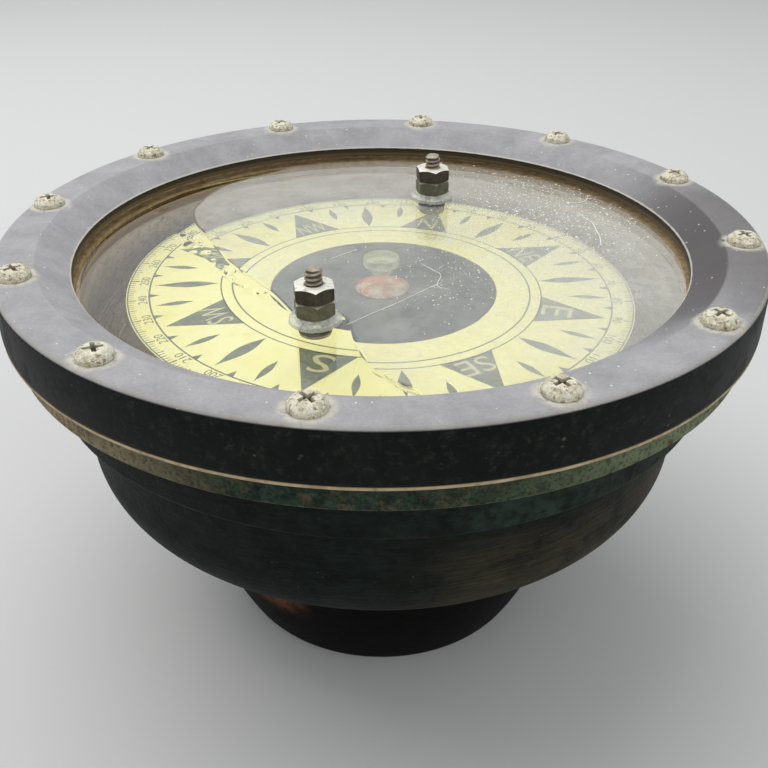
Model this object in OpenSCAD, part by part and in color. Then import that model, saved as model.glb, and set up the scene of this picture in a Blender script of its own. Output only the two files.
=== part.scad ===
// Liquid-filled marine compass bowl with a pivoted card, millimetres
// The origin is the middle of the foot's resting face, +Z is up and -Y faces the reader of the card

/* [Bezel ring] */
// Outer diameter of the bezel ring, from which the other round pieces take their sizes
bezel_d = 220; // [205:1:235]
// Width of the ring from its outside to the opening over the glass
ring_w = 20.5; // [19:0.5:22]
// Width of the ring's flat top
land_w = 11.5; // [11.5:0.1:14]
// Radius of the ring's outer top corner
bezel_corner_r = 1.6; // [0.5:0.1:1.8]
// Height of the slope between flat top and opening
slope_h = 6.1; // [3:0.1:8]
// Height of the upright lip below the slope
lip_h = 2.2; // [1:0.1:4]

/* [Bowl] */
// Distance of the bowl's upright wall inside the ring's outside
bowl_in = 18.5; // [16:0.5:20]
// Thickness of the bowl's wall
bowl_wall = 3.5; // [2.5:0.5:5]
// Thickness of the bowl's floor
floor_t = 5; // [4.5:0.5:7]
// Height from the underside of the floor to the top of the flange
bowl_h = 62.5; // [61:0.5:70]
// Outside radius of the curve between wall and floor
bowl_curve_r = 22; // [20:1:26]
// Distance of the thick step inside the ring's outside
step_in = 11.3; // [10.5:0.1:14]
// Height of the thick step
step_h = 15; // [10:0.5:16]
// Distance of the flange's edge inside the ring's outside
flange_in = 3; // [2:0.1:3.3]
// Thickness of the flange
flange_t = 6.5; // [6:0.5:8]

/* [Cover glass] */
// Distance of the glass's edge inside the ring's outside
glass_in = 13; // [12:0.5:14]
// Thickness of the cover glass
glass_t = 5; // [4:0.5:7]
// Thickness of the packing ring above the glass
upper_seal_t = 0.8; // [0.4:0.1:1.5]
// Thickness of the packing ring below the glass
lower_seal_t = 2.1; // [1:0.1:3]
// Thickness of the gasket on the flange
flange_seal_t = 1.3; // [0.8:0.1:2]
// Distance of the gasket's edge inside the ring's outside
flange_seal_in = 1.3; // [1:0.1:2]
// Diameter of the clear stop's upper part
stop_d = 11.2; // [9:0.1:14]
// Height of the clear stop's upper part
stop_h = 2.6; // [1.5:0.1:3]
// Height of the clear stop's nose
stop_nose_h = 2.4; // [1:0.1:3]

/* [Bezel screws] */
// Number of bezel screws
screw_count = 12; // [8:1:16]
// Distance of the screws' circle inside the ring's outside
screw_in = 6.2; // [6:0.1:6.7]
// Direction of the first bezel screw, in degrees
screw_angle = 21.7; // [0:0.1:30]
// Diameter of the bezel screws' shanks
screw_d = 4.8; // [4:0.1:5]
// Diameter of the bezel screws' heads
screw_head_d = 9; // [8:0.1:9.2]
// Height of the bezel screws' heads
screw_head_h = 2.8; // [2.2:0.1:3.4]
// Length of thread in the flange
screw_grip = 5; // [3.5:0.5:5]

/* [Terminal studs] */
// Diameter of the circle that the two studs stand on
stud_pcd = 98; // [80:1:110]
// Direction of the rear stud, in degrees
stud_angle = 69.5; // [60:0.5:80]
// Diameter of the studs
stud_d = 4.8; // [4:0.1:6]
// Depth of the studs' thread, taken off where a nut is on it
stud_thread = 0.2; // [0.1:0.1:0.4]
// Length of the studs above the upper nuts
stud_end = 4.2; // [3:0.1:8]
// Width across flats of the nuts
nut_af = 10; // [9:0.1:11]
// Thickness of each nut
nut_t = 4.2; // [3:0.1:5]
// Diameter of the clear sealing washers
washer_d = 14.4; // [12:0.1:16]
// Thickness of the clear sealing washers
washer_t = 2.4; // [1.5:0.1:3]
// Diameter of the studs' heads under the glass
stud_head_d = 8.6; // [8:0.1:10]
// Height of the studs' heads under the glass
stud_head_h = 2.2; // [1.5:0.1:2.5]
// Thickness of the washers under the glass
inner_washer_t = 1; // [0.5:0.1:1.2]

/* [Foot] */
// Height of the foot, which is the height of the bowl's underside
foot_h = 48.5; // [44:0.5:56]
// Distance of the foot's top inside the bowl's upright wall
foot_in = 30; // [28:0.5:32]
// Distance by which the foot draws in from its top to its lower edge
foot_draw = 11.5; // [4:0.5:12]
// Height of the rounded lower edge of the foot
foot_edge = 1.5; // [0.5:0.1:3]
// Width of the rounded lower edge of the foot
foot_edge_w = 1; // [0.5:0.1:2]
// Thickness of the foot's wall
foot_wall = 3; // [2:0.5:4]
// Thickness of the foot's floor
foot_floor_t = 4; // [3:0.5:6]
// Width of the ring-shaped resting face
foot_rest_w = 13; // [12:0.5:18]
// Depth of the hollow inside the resting face
foot_hollow_depth = 1.2; // [0.5:0.1:2]
// Diameter of the foot screws
foot_screw_d = 5; // [4:0.5:5]
// Height of the lead ballast
ballast_h = 16; // [10:1:18]
// Diameter of the hole in the ballast
ballast_hole_d = 20; // [12:1:22]

/* [Expansion diaphragm] */
// Width of the diaphragm's clamped rim
clamp_w = 10; // [9:0.5:12]
// Room between the clamped rim and the foot's pillars
clamp_room = 1.5; // [0.5:0.5:6]
// Thickness of the clamp ring
clamp_t = 3; // [2:0.5:4]
// Thickness of the diaphragm
diaphragm_t = 0.5; // [0.3:0.1:0.8]
// Height of the diaphragm's waves
wave_h = 1.2; // [0.6:0.1:1.6]
// Thickness of the diaphragm's gasket
diaphragm_seal_t = 0.8; // [0.5:0.1:1.5]
// Number of clamp screws
clamp_screw_count = 8; // [6:2:12]
// Diameter of the clamp screws
clamp_screw_d = 3; // [2.5:0.5:3]

/* [Pivot] */
// Width of the bridge that carries the pivot
bridge_w = 14; // [12:1:18]
// Thickness of the bridge
bridge_t = 5; // [4:0.5:6]
// Length by which each end of the bridge lies on the floor
bridge_end_w = 19; // [16:1:19]
// Diameter of the bridge screws
bridge_screw_d = 4; // [3:0.5:4.5]
// Diameter of the pivot post
post_d = 10; // [9:0.5:11]
// Depth of the post's top below the pivot point
post_drop = 13; // [12:0.5:15]
// Diameter of the pivot pin's threaded part
pin_thread_d = 4; // [3:0.5:4.5]
// Diameter of the pivot pin's point
pin_d = 2; // [1.5:0.1:2.4]

/* [Card and float] */
// Distance between the card's edge and the bowl's wall
card_gap = 11.8; // [10:0.1:13]
// Thickness of the compass card
card_t = 0.8; // [0.5:0.1:1.2]
// Depth of the card's upper face below the glass
card_drop = 16; // [15:0.5:18]
// Diameter of the float's dark upper plate
float_d = 69.6; // [64:0.2:72]
// Depth of the float below the card's upper face
float_h = 15; // [14:0.5:17]
// Thickness of the float's sheet metal
sheet_t = 0.6; // [0.4:0.1:0.8]
// Width of the flange that the card is riveted to
float_flange_w = 6.5; // [5:0.5:8]
// Diameter of the float's reddish cap
cap_d = 16.8; // [16:0.2:20]
// Height of the float's reddish cap
cap_h = 2.4; // [2:0.1:4]
// Direction of north on the card, in degrees
card_north = 73; // [0:1:360]
// Number of card rivets
rivet_count = 4; // [4:1:8]

/* [Magnets] */
// Diameter of the magnets
magnet_d = 5; // [4:0.5:5]
// Length of the two inner magnets
inner_magnet_l = 88; // [70:1:92]
// Length of the two outer magnets
outer_magnet_l = 66; // [60:1:76]
// Gap between the two inner magnets
inner_magnet_gap = 27; // [26:0.5:31]
// Gap between an inner and an outer magnet
outer_magnet_gap = 9; // [7:0.5:11]
// Gap between the two bars that carry the magnets
bar_gap = 33; // [31:1:40]
// Width of each bar
bar_w = 7; // [5:0.5:9]
// Height of the bars that carry the magnets
bar_h = 8.4; // [7:0.2:9]

/* [Lubber line and filler] */
// Distance of the lubber pin from the card's edge
lubber_gap = 3.2; // [2.8:0.1:4]
// Diameter of the lubber pin
lubber_d = 1.4; // [1:0.1:2]
// Diameter of the filler plug's thread
filler_d = 6; // [5:0.5:6]
// Direction of the filler plug, in degrees
filler_angle = 110; // [95:1:140]

/* [Hidden] */
// Gap between a screw and the clearance hole that it passes through
screw_clear = 0.2;
// Gap between a thread and its tapped hole
thread_fit = 0.05;
// Gap between pieces that drop into each other
drop_fit = 0.3;
// Depth that a tapped hole runs past its screw
hole_spare = 0.5;
// Overshoot of a cutter past the face that it cuts
eps = 0.5;
// Bevel on the edges of glass and other small pieces
small_bevel = 0.4;

// Heights of the fixed pieces, from the foot up
z_floor = foot_h;
z_inner = z_floor + floor_t;
z_flange = z_floor + bowl_h;
z_shoulder = z_flange - flange_t;
z_step = z_shoulder - step_h;
z_seal = z_flange + flange_seal_t;
z_glass = z_seal + lower_seal_t;
z_glass_top = z_glass + glass_t;
z_lip = z_glass_top + upper_seal_t;
z_top = z_lip + lip_h + slope_h;

// Radii of the bowl and the ring
bezel_r = bezel_d / 2;
bowl_r = bezel_r - bowl_in;
bore_r = bowl_r - bowl_wall;
inner_curve_r = bowl_curve_r - bowl_wall;
step_r = bezel_r - step_in;
flange_r = bezel_r - flange_in;
flange_seal_r = bezel_r - flange_seal_in;
flange_seal_lap = 0.5;
land_r = bezel_r - land_w;
opening_r = bezel_r - ring_w;
glass_r = bezel_r - glass_in;
rebate_gap = 0.5;
rebate_r = glass_r + rebate_gap;
seat_lap = 1.5;
seat_r = bore_r + seat_lap;
upper_seal_lap = 1;

// Bezel screws
screw_pcd = 2 * (bezel_r - screw_in);
screw_shank_l = z_top - z_flange + screw_grip;
recess_w = 1.2;
recess_l = 5.2;
recess_depth = 1.7;
head_round = 1.7;

// Terminal studs
z_stud_head = z_glass - inner_washer_t - stud_head_h;
z_nut = z_glass_top + washer_t;
z_lock_nut = z_nut + nut_t;
z_stud_top = z_lock_nut + nut_t + stud_end;
nut_chamfer = 0.6;
stud_chamfer = 0.5;
stud_core_r = stud_d / 2 - stud_thread;
inner_washer_w = 1.9;
stop_nose_share = 0.62;
stop_taper = 0.85;
stop_cup_share = 0.5;
stop_cup_depth = 1.4;

// Foot: the wall is an arc that stands upright where it meets the bowl
foot_top_r = bowl_r - foot_in;
foot_base_r = foot_top_r - foot_draw - foot_edge_w;
foot_screw_in = 6;
foot_screw_pcd = 2 * (foot_base_r - foot_screw_in);
foot_hollow_r = foot_base_r - foot_rest_w;
foot_rise = foot_h - foot_edge;
foot_arc_r = (foot_draw * foot_draw + foot_rise * foot_rise) / (2 * foot_draw);
pillar_wall = 3;
pillar_r = foot_screw_d / 2 + pillar_wall;
foot_screw_head_w = 1.75;
foot_screw_head_d = foot_screw_d + 2 * foot_screw_head_w;
foot_screw_head_h = 3.4;
foot_bore_depth = 5;
blind_t = 1.5;
foot_grip = floor_t - blind_t;
foot_screw_count = 4;
pillar_in = foot_screw_pcd / 2 - pillar_r;
ballast_r = pillar_in - drop_fit;

// Expansion diaphragm, inside the foot's pillars
clamp_r = pillar_in - clamp_room;
port_r = clamp_r - clamp_w;
clamp_screw_out = 0.5;
clamp_pcd = 2 * (port_r + clamp_w / 2 + clamp_screw_out);
z_diaphragm = z_floor - diaphragm_seal_t - diaphragm_t;
z_clamp = z_diaphragm - clamp_t;
clamp_head_w = 1.2;
clamp_head_d = clamp_screw_d + 2 * clamp_head_w;
clamp_head_h = 2;
clamp_grip = floor_t - blind_t;
wave_edge = 1;
wave_count = 4;

// Pivot: the tip of the pin is the point that the card turns and tips about
z_card = z_glass - card_drop;
pivot_drop = 1;
z_pivot = z_card - pivot_drop;
z_bridge = z_inner + bridge_t;
z_post_top = z_pivot - post_drop;
post_base_w = 3;
post_base_h = 3;
post_taper_w = 1;
post_taper_h = 6;
spigot_d = 6;
bridge_l = 2 * (port_r + bridge_end_w);
bridge_screw_in = 7;
bridge_screw_x = bridge_l / 2 - bridge_screw_in;
bridge_head_w = 1.6;
bridge_head_h = 2.8;
bridge_grip = floor_t - blind_t;
lock_nut_af = 8;
lock_nut_t = 2.5;
pin_thread_l = 8;
pin_thread_end = 0.5;
pin_point_l = 3;
pin_tip_r = 0.05;

// Card, float and jewel
card_r = bore_r - card_gap;
card_fit = 0.2;
card_hole_r = float_d / 2 + card_fit;
float_wall_in = 0.8;
float_r = float_d / 2 - float_wall_in;
float_flange_r = card_hole_r + float_flange_w;
z_card_seat = z_card - card_t;
z_float_base = z_card - float_h;
z_float_top = z_card_seat + sheet_t;
tunnel_room = 5;
tunnel_base_r = post_d / 2 + tunnel_room;
tunnel_top_r = 4.8;
setting_r = 4.2;
setting_flange_r = 6.5;
setting_flange_t = 1;
setting_l = 4.7;
jewel_r = 2.2;
jewel_below = 1.1;
jewel_above = 0.9;
jewel_clear = 0.35;
jewel_gap = 0.3;
jewel_pit_r = 1.5;
jewel_lip_r = 1.9;
jewel_lip_h = 0.35;
setting_mouth_r = 2.6;
cap_r = cap_d / 2;
cap_t = 0.5;
cap_rim_h = 1;
cap_slope_w = 1.8;
rivet_pcd = 2 * card_hole_r + float_flange_w;
rivet_d = 2;
rivet_head_d = 3.6;
rivet_head_h = 0.8;

// Magnets
inner_magnet_x = (inner_magnet_gap + magnet_d) / 2;
outer_magnet_x = inner_magnet_x + magnet_d + outer_magnet_gap;
bar_y = (bar_gap + bar_w) / 2;
bar_end = 5;
bar_under = 1;
bar_l = 2 * (outer_magnet_x + magnet_d / 2 + bar_end);
z_magnet = z_float_base - bar_h + magnet_d / 2 + bar_under;

// Lubber line, in line with the two studs
lubber_r = card_r + lubber_gap;
lubber_angle = stud_angle - 180;
lubber_w = 8;
lubber_t = 3;
lubber_nose = 2.5;
lubber_drop = 7;
z_lubber = z_card - lubber_drop;
lubber_above = 2.5;

// Filler plug, close under the step
boss_wall = 2.3;
boss_root = 1;
boss_r = filler_d / 2 + boss_wall;
boss_out = 3;
boss_drop = 0.2;
z_filler = z_step - boss_r - boss_drop;
filler_washer_t = 0.8;
filler_head_w = 1.3;
filler_head_af = filler_d + 2 * filler_head_w;
filler_head_h = 3.5;
plug_back = 0.4;

// Facets of a full turn, and points of the rounded outlines
$fn = 96;
curve_steps = 24;

// Points of an arc around a centre, from one angle to another
function arc_points(centre, r, from, to, steps) =
    [for (i = [0:steps]) let (a = from + (to - from) * i / steps)
        [centre[0] + r * cos(a), centre[1] + r * sin(a)]];

// Points of the foot's wall from its lower edge up, moved in by a wall thickness
function foot_points(inset, bottom) =
    [for (i = [0:curve_steps]) let (z = bottom + (foot_h - bottom) * i / curve_steps,
        drop = foot_h - max(z, foot_edge))
        [foot_top_r - foot_arc_r + sqrt(foot_arc_r * foot_arc_r - drop * drop) - inset, z]];

// A flat ring standing on a height
module ring(outer_r, inner_r, t, z) {
    translate([0, 0, z]) difference() {
        cylinder(r = outer_r, h = t);
        translate([0, 0, -eps]) cylinder(r = inner_r, h = t + 2 * eps);
    }
}

// Copies on a circle
module on_circle(pcd, count, first) {
    for (i = [0:count - 1]) rotate([0, 0, first + i * 360 / count])
        translate([pcd / 2, 0, 0]) children();
}

// Copies at the two studs
module at_studs() {
    on_circle(stud_pcd, 2, stud_angle) children();
}

// A hexagonal nut or head with its corners turned off, its bore along Z
module hex_piece(af, t, bore_r) {
    corner_r = af / 2 / cos(30);
    difference() {
        intersection() {
            cylinder(r = corner_r, h = t, $fn = 6);
            rotate_extrude() polygon([[0, 0], [corner_r - nut_chamfer, 0],
                [corner_r, nut_chamfer / 2], [corner_r, t - nut_chamfer / 2],
                [corner_r - nut_chamfer, t], [0, t]]);
        }
        if (bore_r > 0) translate([0, 0, -eps]) cylinder(r = bore_r, h = t + 2 * eps);
    }
}

// A cheese-head screw with a straight slot, its shank upwards from z = 0
module slotted_screw(d, l, head_d, head_h) {
    slot_w = d * 0.25;
    difference() {
        union() {
            cylinder(r = d / 2, h = l);
            translate([0, 0, -head_h]) cylinder(r = head_d / 2, h = head_h);
        }
        translate([-head_d, -slot_w / 2, -head_h - eps]) cube([2 * head_d, slot_w, head_h / 2 + eps]);
    }
}

// Cast bowl: floor, curve, upright wall, thick step and flange
module bowl_body() {
    color("darkslategray") difference() {
        union() {
            rotate_extrude() polygon(concat(
                [[port_r, z_floor]],
                arc_points([bowl_r - bowl_curve_r, z_floor + bowl_curve_r], bowl_curve_r, -90, 0, curve_steps),
                [[bowl_r, z_step], [step_r, z_step], [step_r, z_shoulder],
                    [flange_r, z_shoulder], [flange_r, z_flange], [bore_r, z_flange]],
                arc_points([bore_r - inner_curve_r, z_inner + inner_curve_r], inner_curve_r, 0, -90, curve_steps),
                [[port_r, z_inner]]));
            rotate([0, 0, filler_angle]) translate([bore_r + boss_root, 0, z_filler])
                rotate([0, 90, 0]) cylinder(r = boss_r, h = bowl_wall - boss_root + boss_out);
        }
        on_circle(screw_pcd, screw_count, screw_angle)
            translate([0, 0, z_flange - screw_grip - hole_spare])
                cylinder(r = screw_d / 2 + thread_fit, h = screw_grip + hole_spare + eps);
        on_circle(foot_screw_pcd, foot_screw_count, 45) translate([0, 0, z_floor - eps])
            cylinder(r = foot_screw_d / 2 + thread_fit, h = foot_grip + hole_spare + eps);
        on_circle(clamp_pcd, clamp_screw_count, 180 / clamp_screw_count)
            translate([0, 0, z_floor - eps])
                cylinder(r = clamp_screw_d / 2 + thread_fit, h = clamp_grip + hole_spare + eps);
        for (side = [-1, 1]) translate([side * bridge_screw_x, 0, z_inner - bridge_grip - hole_spare])
            cylinder(r = bridge_screw_d / 2 + thread_fit, h = bridge_grip + hole_spare + eps);
        rotate([0, 0, filler_angle]) translate([bore_r - bowl_wall, 0, z_filler]) rotate([0, 90, 0])
            cylinder(r = filler_d / 2 + thread_fit, h = 2 * bowl_wall + boss_out + eps);
    }
}

// Flat gasket between flange and ring
module flange_seal() {
    color("tan") difference() {
        ring(flange_seal_r, bore_r + flange_seal_lap, flange_seal_t, z_flange);
        on_circle(screw_pcd, screw_count, screw_angle) translate([0, 0, z_flange - eps])
            cylinder(r = screw_d / 2 + screw_clear, h = flange_seal_t + 2 * eps);
    }
}

// Ring that holds the glass: rebate below, lip, slope and flat top
module bezel_ring() {
    color("dimgray") difference() {
        rotate_extrude() polygon(concat(
            [[rebate_r, z_seal], [bezel_r, z_seal]],
            arc_points([bezel_r - bezel_corner_r, z_top - bezel_corner_r], bezel_corner_r, 0, 90, 8),
            [[land_r, z_top], [opening_r, z_lip + lip_h], [opening_r, z_lip], [rebate_r, z_lip]]));
        on_circle(screw_pcd, screw_count, screw_angle) translate([0, 0, z_seal - eps])
            cylinder(r = screw_d / 2 + screw_clear, h = z_top - z_seal + 2 * eps);
    }
}

// One pan-head screw with a cross recess, its head standing on z = 0
module pan_screw() {
    difference() {
        union() {
            translate([0, 0, -screw_shank_l]) cylinder(r = screw_d / 2, h = screw_shank_l);
            rotate_extrude() polygon(concat([[0, 0], [screw_head_d / 2, 0]],
                arc_points([screw_head_d / 2 - head_round, screw_head_h - head_round], head_round, 0, 90, 8),
                [[0, screw_head_h]]));
        }
        for (turn = [0, 90]) rotate([0, 0, turn])
            translate([-recess_l / 2, -recess_w / 2, screw_head_h - recess_depth])
                cube([recess_l, recess_w, recess_depth + eps]);
    }
}

module bezel_screws() {
    color("tan") on_circle(screw_pcd, screw_count, screw_angle)
        translate([0, 0, z_top]) rotate([0, 0, screw_angle]) pan_screw();
}

// Packing ring under the glass
module glass_lower_seal() {
    color("black") ring(glass_r, seat_r, lower_seal_t, z_seal);
}

// Packing ring between glass and lip
module glass_upper_seal() {
    color("black") ring(glass_r, opening_r + upper_seal_lap, upper_seal_t, z_glass_top);
}

// Flat cover glass with two stud holes
module cover_glass() {
    color([0.8, 0.9, 0.85, 0.35]) difference() {
        rotate_extrude() polygon([[0, z_glass], [glass_r - small_bevel, z_glass],
            [glass_r, z_glass + small_bevel], [glass_r, z_glass_top - small_bevel],
            [glass_r - small_bevel, z_glass_top], [0, z_glass_top]]);
        at_studs() translate([0, 0, z_glass - eps])
            cylinder(r = stud_d / 2 + screw_clear, h = glass_t + 2 * eps);
    }
}

// Clear stop cemented under the middle of the glass
module centre_stop() {
    stop_r = stop_d / 2;
    nose_r = stop_r * stop_nose_share;
    z_stop = z_glass - stop_h;
    z_nose = z_stop - stop_nose_h;
    color([0.85, 0.9, 0.8, 0.5]) rotate_extrude() polygon([[0, z_glass], [stop_r, z_glass],
        [stop_r, z_stop + small_bevel], [stop_r - small_bevel, z_stop],
        [nose_r, z_stop], [nose_r * stop_taper, z_nose],
        [nose_r * stop_cup_share, z_nose], [0, z_nose + stop_cup_depth]]);
}

// Threaded studs, with their heads under the glass
module terminal_studs() {
    color("gray") at_studs() {
        translate([0, 0, z_stud_head]) cylinder(r = stud_head_d / 2, h = stud_head_h);
        rotate_extrude() polygon([[0, z_stud_head + eps], [stud_core_r, z_stud_head + eps],
            [stud_core_r, z_lock_nut + nut_t], [stud_d / 2, z_lock_nut + nut_t],
            [stud_d / 2, z_stud_top - stud_chamfer],
            [stud_d / 2 - stud_chamfer, z_stud_top], [0, z_stud_top]]);
    }
}

module terminal_inner_washers() {
    color("black") at_studs()
        ring(stud_d / 2 + screw_clear + inner_washer_w, stud_d / 2 + screw_clear,
            inner_washer_t, z_glass - inner_washer_t);
}

module terminal_washers() {
    color([0.85, 0.9, 0.8, 0.5]) at_studs()
        ring(washer_d / 2, stud_d / 2 + screw_clear, washer_t, z_glass_top);
}

module terminal_nuts() {
    color("darkolivegreen") at_studs() translate([0, 0, z_nut])
        hex_piece(nut_af, nut_t, stud_core_r + thread_fit);
}

module terminal_lock_nuts() {
    color("dimgray") at_studs() translate([0, 0, z_lock_nut])
        hex_piece(nut_af, nut_t, stud_core_r + thread_fit);
}

// Foot: curved wall, floor, four pillars and a hollow resting face
module foot_cover() {
    color("darkslategray") difference() {
        union() {
            difference() {
                rotate_extrude() polygon(concat([[0, 0], [foot_base_r, 0]],
                    foot_points(0, foot_edge), [[0, foot_h]]));
                rotate_extrude() polygon(concat([[0, foot_floor_t]],
                    foot_points(foot_wall, foot_floor_t), [[foot_top_r - foot_wall, foot_h + eps],
                        [0, foot_h + eps]]));
            }
            on_circle(foot_screw_pcd, foot_screw_count, 45) translate([0, 0, foot_floor_t - eps])
                cylinder(r = pillar_r, h = foot_h - foot_floor_t + eps);
        }
        translate([0, 0, -eps]) cylinder(r = foot_hollow_r, h = foot_hollow_depth + eps);
        on_circle(foot_screw_pcd, foot_screw_count, 45) {
            translate([0, 0, -eps])
                cylinder(r = foot_screw_head_d / 2 + screw_clear, h = foot_bore_depth + eps);
            cylinder(r = foot_screw_d / 2 + screw_clear, h = foot_h + eps);
        }
    }
}

module foot_screws() {
    color("darkgoldenrod") on_circle(foot_screw_pcd, foot_screw_count, 45)
        translate([0, 0, foot_bore_depth])
            slotted_screw(foot_screw_d, foot_h - foot_bore_depth + foot_grip, foot_screw_head_d, foot_screw_head_h);
}

// Lead ring between the pillars
module ballast_weight() {
    color("slategray") ring(ballast_r, ballast_hole_d / 2, ballast_h, foot_floor_t);
}

// Corrugated disc under the hole in the floor
module expansion_diaphragm() {
    wave_r = port_r - wave_edge;
    wave = [for (i = [0:6 * wave_count]) let (r = wave_r * i / (6 * wave_count))
        [r, wave_h * (cos(360 * wave_count * r / wave_r) - 1) / 2]];
    color("peru") translate([0, 0, z_diaphragm]) rotate_extrude() polygon(concat(
        wave, [[clamp_r, 0], [clamp_r, diaphragm_t]],
        [for (i = [6 * wave_count:-1:0]) wave[i] + [0, diaphragm_t]]));
}

module diaphragm_holes(z, t) {
    on_circle(clamp_pcd, clamp_screw_count, 180 / clamp_screw_count) translate([0, 0, z - eps])
        cylinder(r = clamp_screw_d / 2 + screw_clear, h = t + 2 * eps);
}

module pierced_diaphragm() {
    difference() {
        expansion_diaphragm();
        diaphragm_holes(z_diaphragm, diaphragm_t);
    }
}

module diaphragm_seal() {
    color("saddlebrown") difference() {
        ring(clamp_r, port_r, diaphragm_seal_t, z_floor - diaphragm_seal_t);
        diaphragm_holes(z_floor - diaphragm_seal_t, diaphragm_seal_t);
    }
}

module diaphragm_clamp_ring() {
    color("goldenrod") difference() {
        ring(clamp_r, port_r, clamp_t, z_clamp);
        diaphragm_holes(z_clamp, clamp_t);
    }
}

module diaphragm_screws() {
    color("darkgoldenrod") on_circle(clamp_pcd, clamp_screw_count, 180 / clamp_screw_count)
        translate([0, 0, z_clamp])
            slotted_screw(clamp_screw_d, z_floor - z_clamp + clamp_grip, clamp_head_d, clamp_head_h);
}

// Bar across the floor, with a threaded hole for the post
module pivot_bridge() {
    color("goldenrod") difference() {
        translate([-bridge_l / 2, -bridge_w / 2, z_inner]) cube([bridge_l, bridge_w, bridge_t]);
        translate([0, 0, z_inner - eps])
            cylinder(r = spigot_d / 2 + thread_fit, h = bridge_t + 2 * eps);
        for (side = [-1, 1]) translate([side * bridge_screw_x, 0, z_inner - eps])
            cylinder(r = bridge_screw_d / 2 + screw_clear, h = bridge_t + 2 * eps);
    }
}

module bridge_screws() {
    color("darkgoldenrod") for (side = [-1, 1])
        translate([side * bridge_screw_x, 0, z_bridge]) mirror([0, 0, 1])
            slotted_screw(bridge_screw_d, bridge_t + bridge_grip, bridge_screw_d + 2 * bridge_head_w, bridge_head_h);
}

// Column on the bridge, bored for the pin
module pivot_post() {
    color("goldenrod") difference() {
        union() {
            translate([0, 0, z_inner]) cylinder(r = spigot_d / 2, h = bridge_t + eps);
            translate([0, 0, z_bridge]) cylinder(r = post_d / 2 + post_base_w, h = post_base_h);
            rotate_extrude() polygon([[0, z_bridge], [post_d / 2, z_bridge],
                [post_d / 2, z_post_top - post_taper_h], [post_d / 2 - post_taper_w, z_post_top],
                [0, z_post_top]]);
        }
        translate([0, 0, z_post_top - pin_thread_l])
            cylinder(r = pin_thread_d / 2 + thread_fit, h = pin_thread_l + eps);
    }
}

module pivot_lock_nut() {
    color("goldenrod") translate([0, 0, z_post_top])
        hex_piece(lock_nut_af, lock_nut_t, pin_thread_d / 2 + thread_fit);
}

// Hardened pin with a threaded foot and a fine point
module pivot_pin() {
    color("silver") rotate_extrude() polygon([[0, z_post_top - pin_thread_l + hole_spare],
        [pin_thread_d / 2, z_post_top - pin_thread_l + hole_spare],
        [pin_thread_d / 2, z_post_top + lock_nut_t + pin_thread_end],
        [pin_d / 2, z_post_top + lock_nut_t + 2 * pin_thread_end], [pin_d / 2, z_pivot - pin_point_l],
        [pin_tip_r, z_pivot], [0, z_pivot]]);
}

// Short arm on the bowl's inner wall, and the pin that marks the heading
module lubber_bracket() {
    color("goldenrod") rotate([0, 0, lubber_angle]) difference() {
        intersection() {
            translate([lubber_r - lubber_nose, -lubber_w / 2, z_lubber])
                cube([bore_r - lubber_r + lubber_nose, lubber_w, lubber_t]);
            translate([0, 0, z_lubber - eps]) cylinder(r = bore_r, h = lubber_t + 2 * eps);
        }
        translate([lubber_r, 0, z_lubber - eps])
            cylinder(r = lubber_d / 2 + thread_fit, h = lubber_t + 2 * eps);
    }
}

module lubber_pin() {
    color("black") rotate([0, 0, lubber_angle]) translate([lubber_r, 0, z_lubber])
        cylinder(r = lubber_d / 2, h = z_card - z_lubber + lubber_above);
}

module filler_plug() {
    plug_l = bowl_wall + boss_out + filler_washer_t;
    color("goldenrod") rotate([0, 0, filler_angle]) translate([bore_r + plug_back, 0, z_filler])
        rotate([0, 90, 0]) {
            cylinder(r = filler_d / 2, h = plug_l);
            translate([0, 0, plug_l - plug_back]) hex_piece(filler_head_af, filler_head_h, 0);
        }
}

module filler_washer() {
    color("saddlebrown") rotate([0, 0, filler_angle])
        translate([bore_r + bowl_wall + boss_out, 0, z_filler]) rotate([0, 90, 0])
            ring(boss_r, filler_d / 2 + screw_clear, filler_washer_t, 0);
}

// Sapphire cup over the pin's point
module pivot_jewel() {
    color("lightblue") rotate_extrude() polygon([[0, z_pivot + jewel_gap],
        [jewel_pit_r, z_pivot - jewel_below], [jewel_r, z_pivot - jewel_below],
        [jewel_r, z_pivot + jewel_above], [0, z_pivot + jewel_above]]);
}

// Brass setting around the jewel, with a lip under it
module jewel_setting() {
    pocket_r = jewel_r + jewel_clear;
    z_pocket = z_pivot - jewel_below - jewel_clear;
    z_roof = z_pivot + jewel_above + jewel_clear;
    z_setting = z_float_top - setting_l;
    color("goldenrod") rotate_extrude() polygon([[0, z_roof], [pocket_r, z_roof],
        [pocket_r, z_pocket], [jewel_lip_r, z_pocket], [jewel_lip_r, z_pocket - jewel_lip_h],
        [setting_mouth_r, z_setting], [setting_r, z_setting], [setting_r, z_float_top],
        [setting_flange_r, z_float_top], [setting_flange_r, z_float_top + setting_flange_t],
        [0, z_float_top + setting_flange_t]]);
}

// Printed card ring
module compass_card() {
    color("lemonchiffon") difference() {
        ring(card_r, card_hole_r, card_t, z_card_seat);
        rotate([0, 0, card_north]) on_circle(rivet_pcd, rivet_count, 0)
            translate([0, 0, z_card_seat - eps])
                cylinder(r = rivet_d / 2 + thread_fit, h = card_t + 2 * eps);
    }
}

// Dark upper plate of the float
module float_top() {
    color("slategray") ring(float_d / 2, setting_r + thread_fit, sheet_t, z_card_seat);
}

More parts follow.
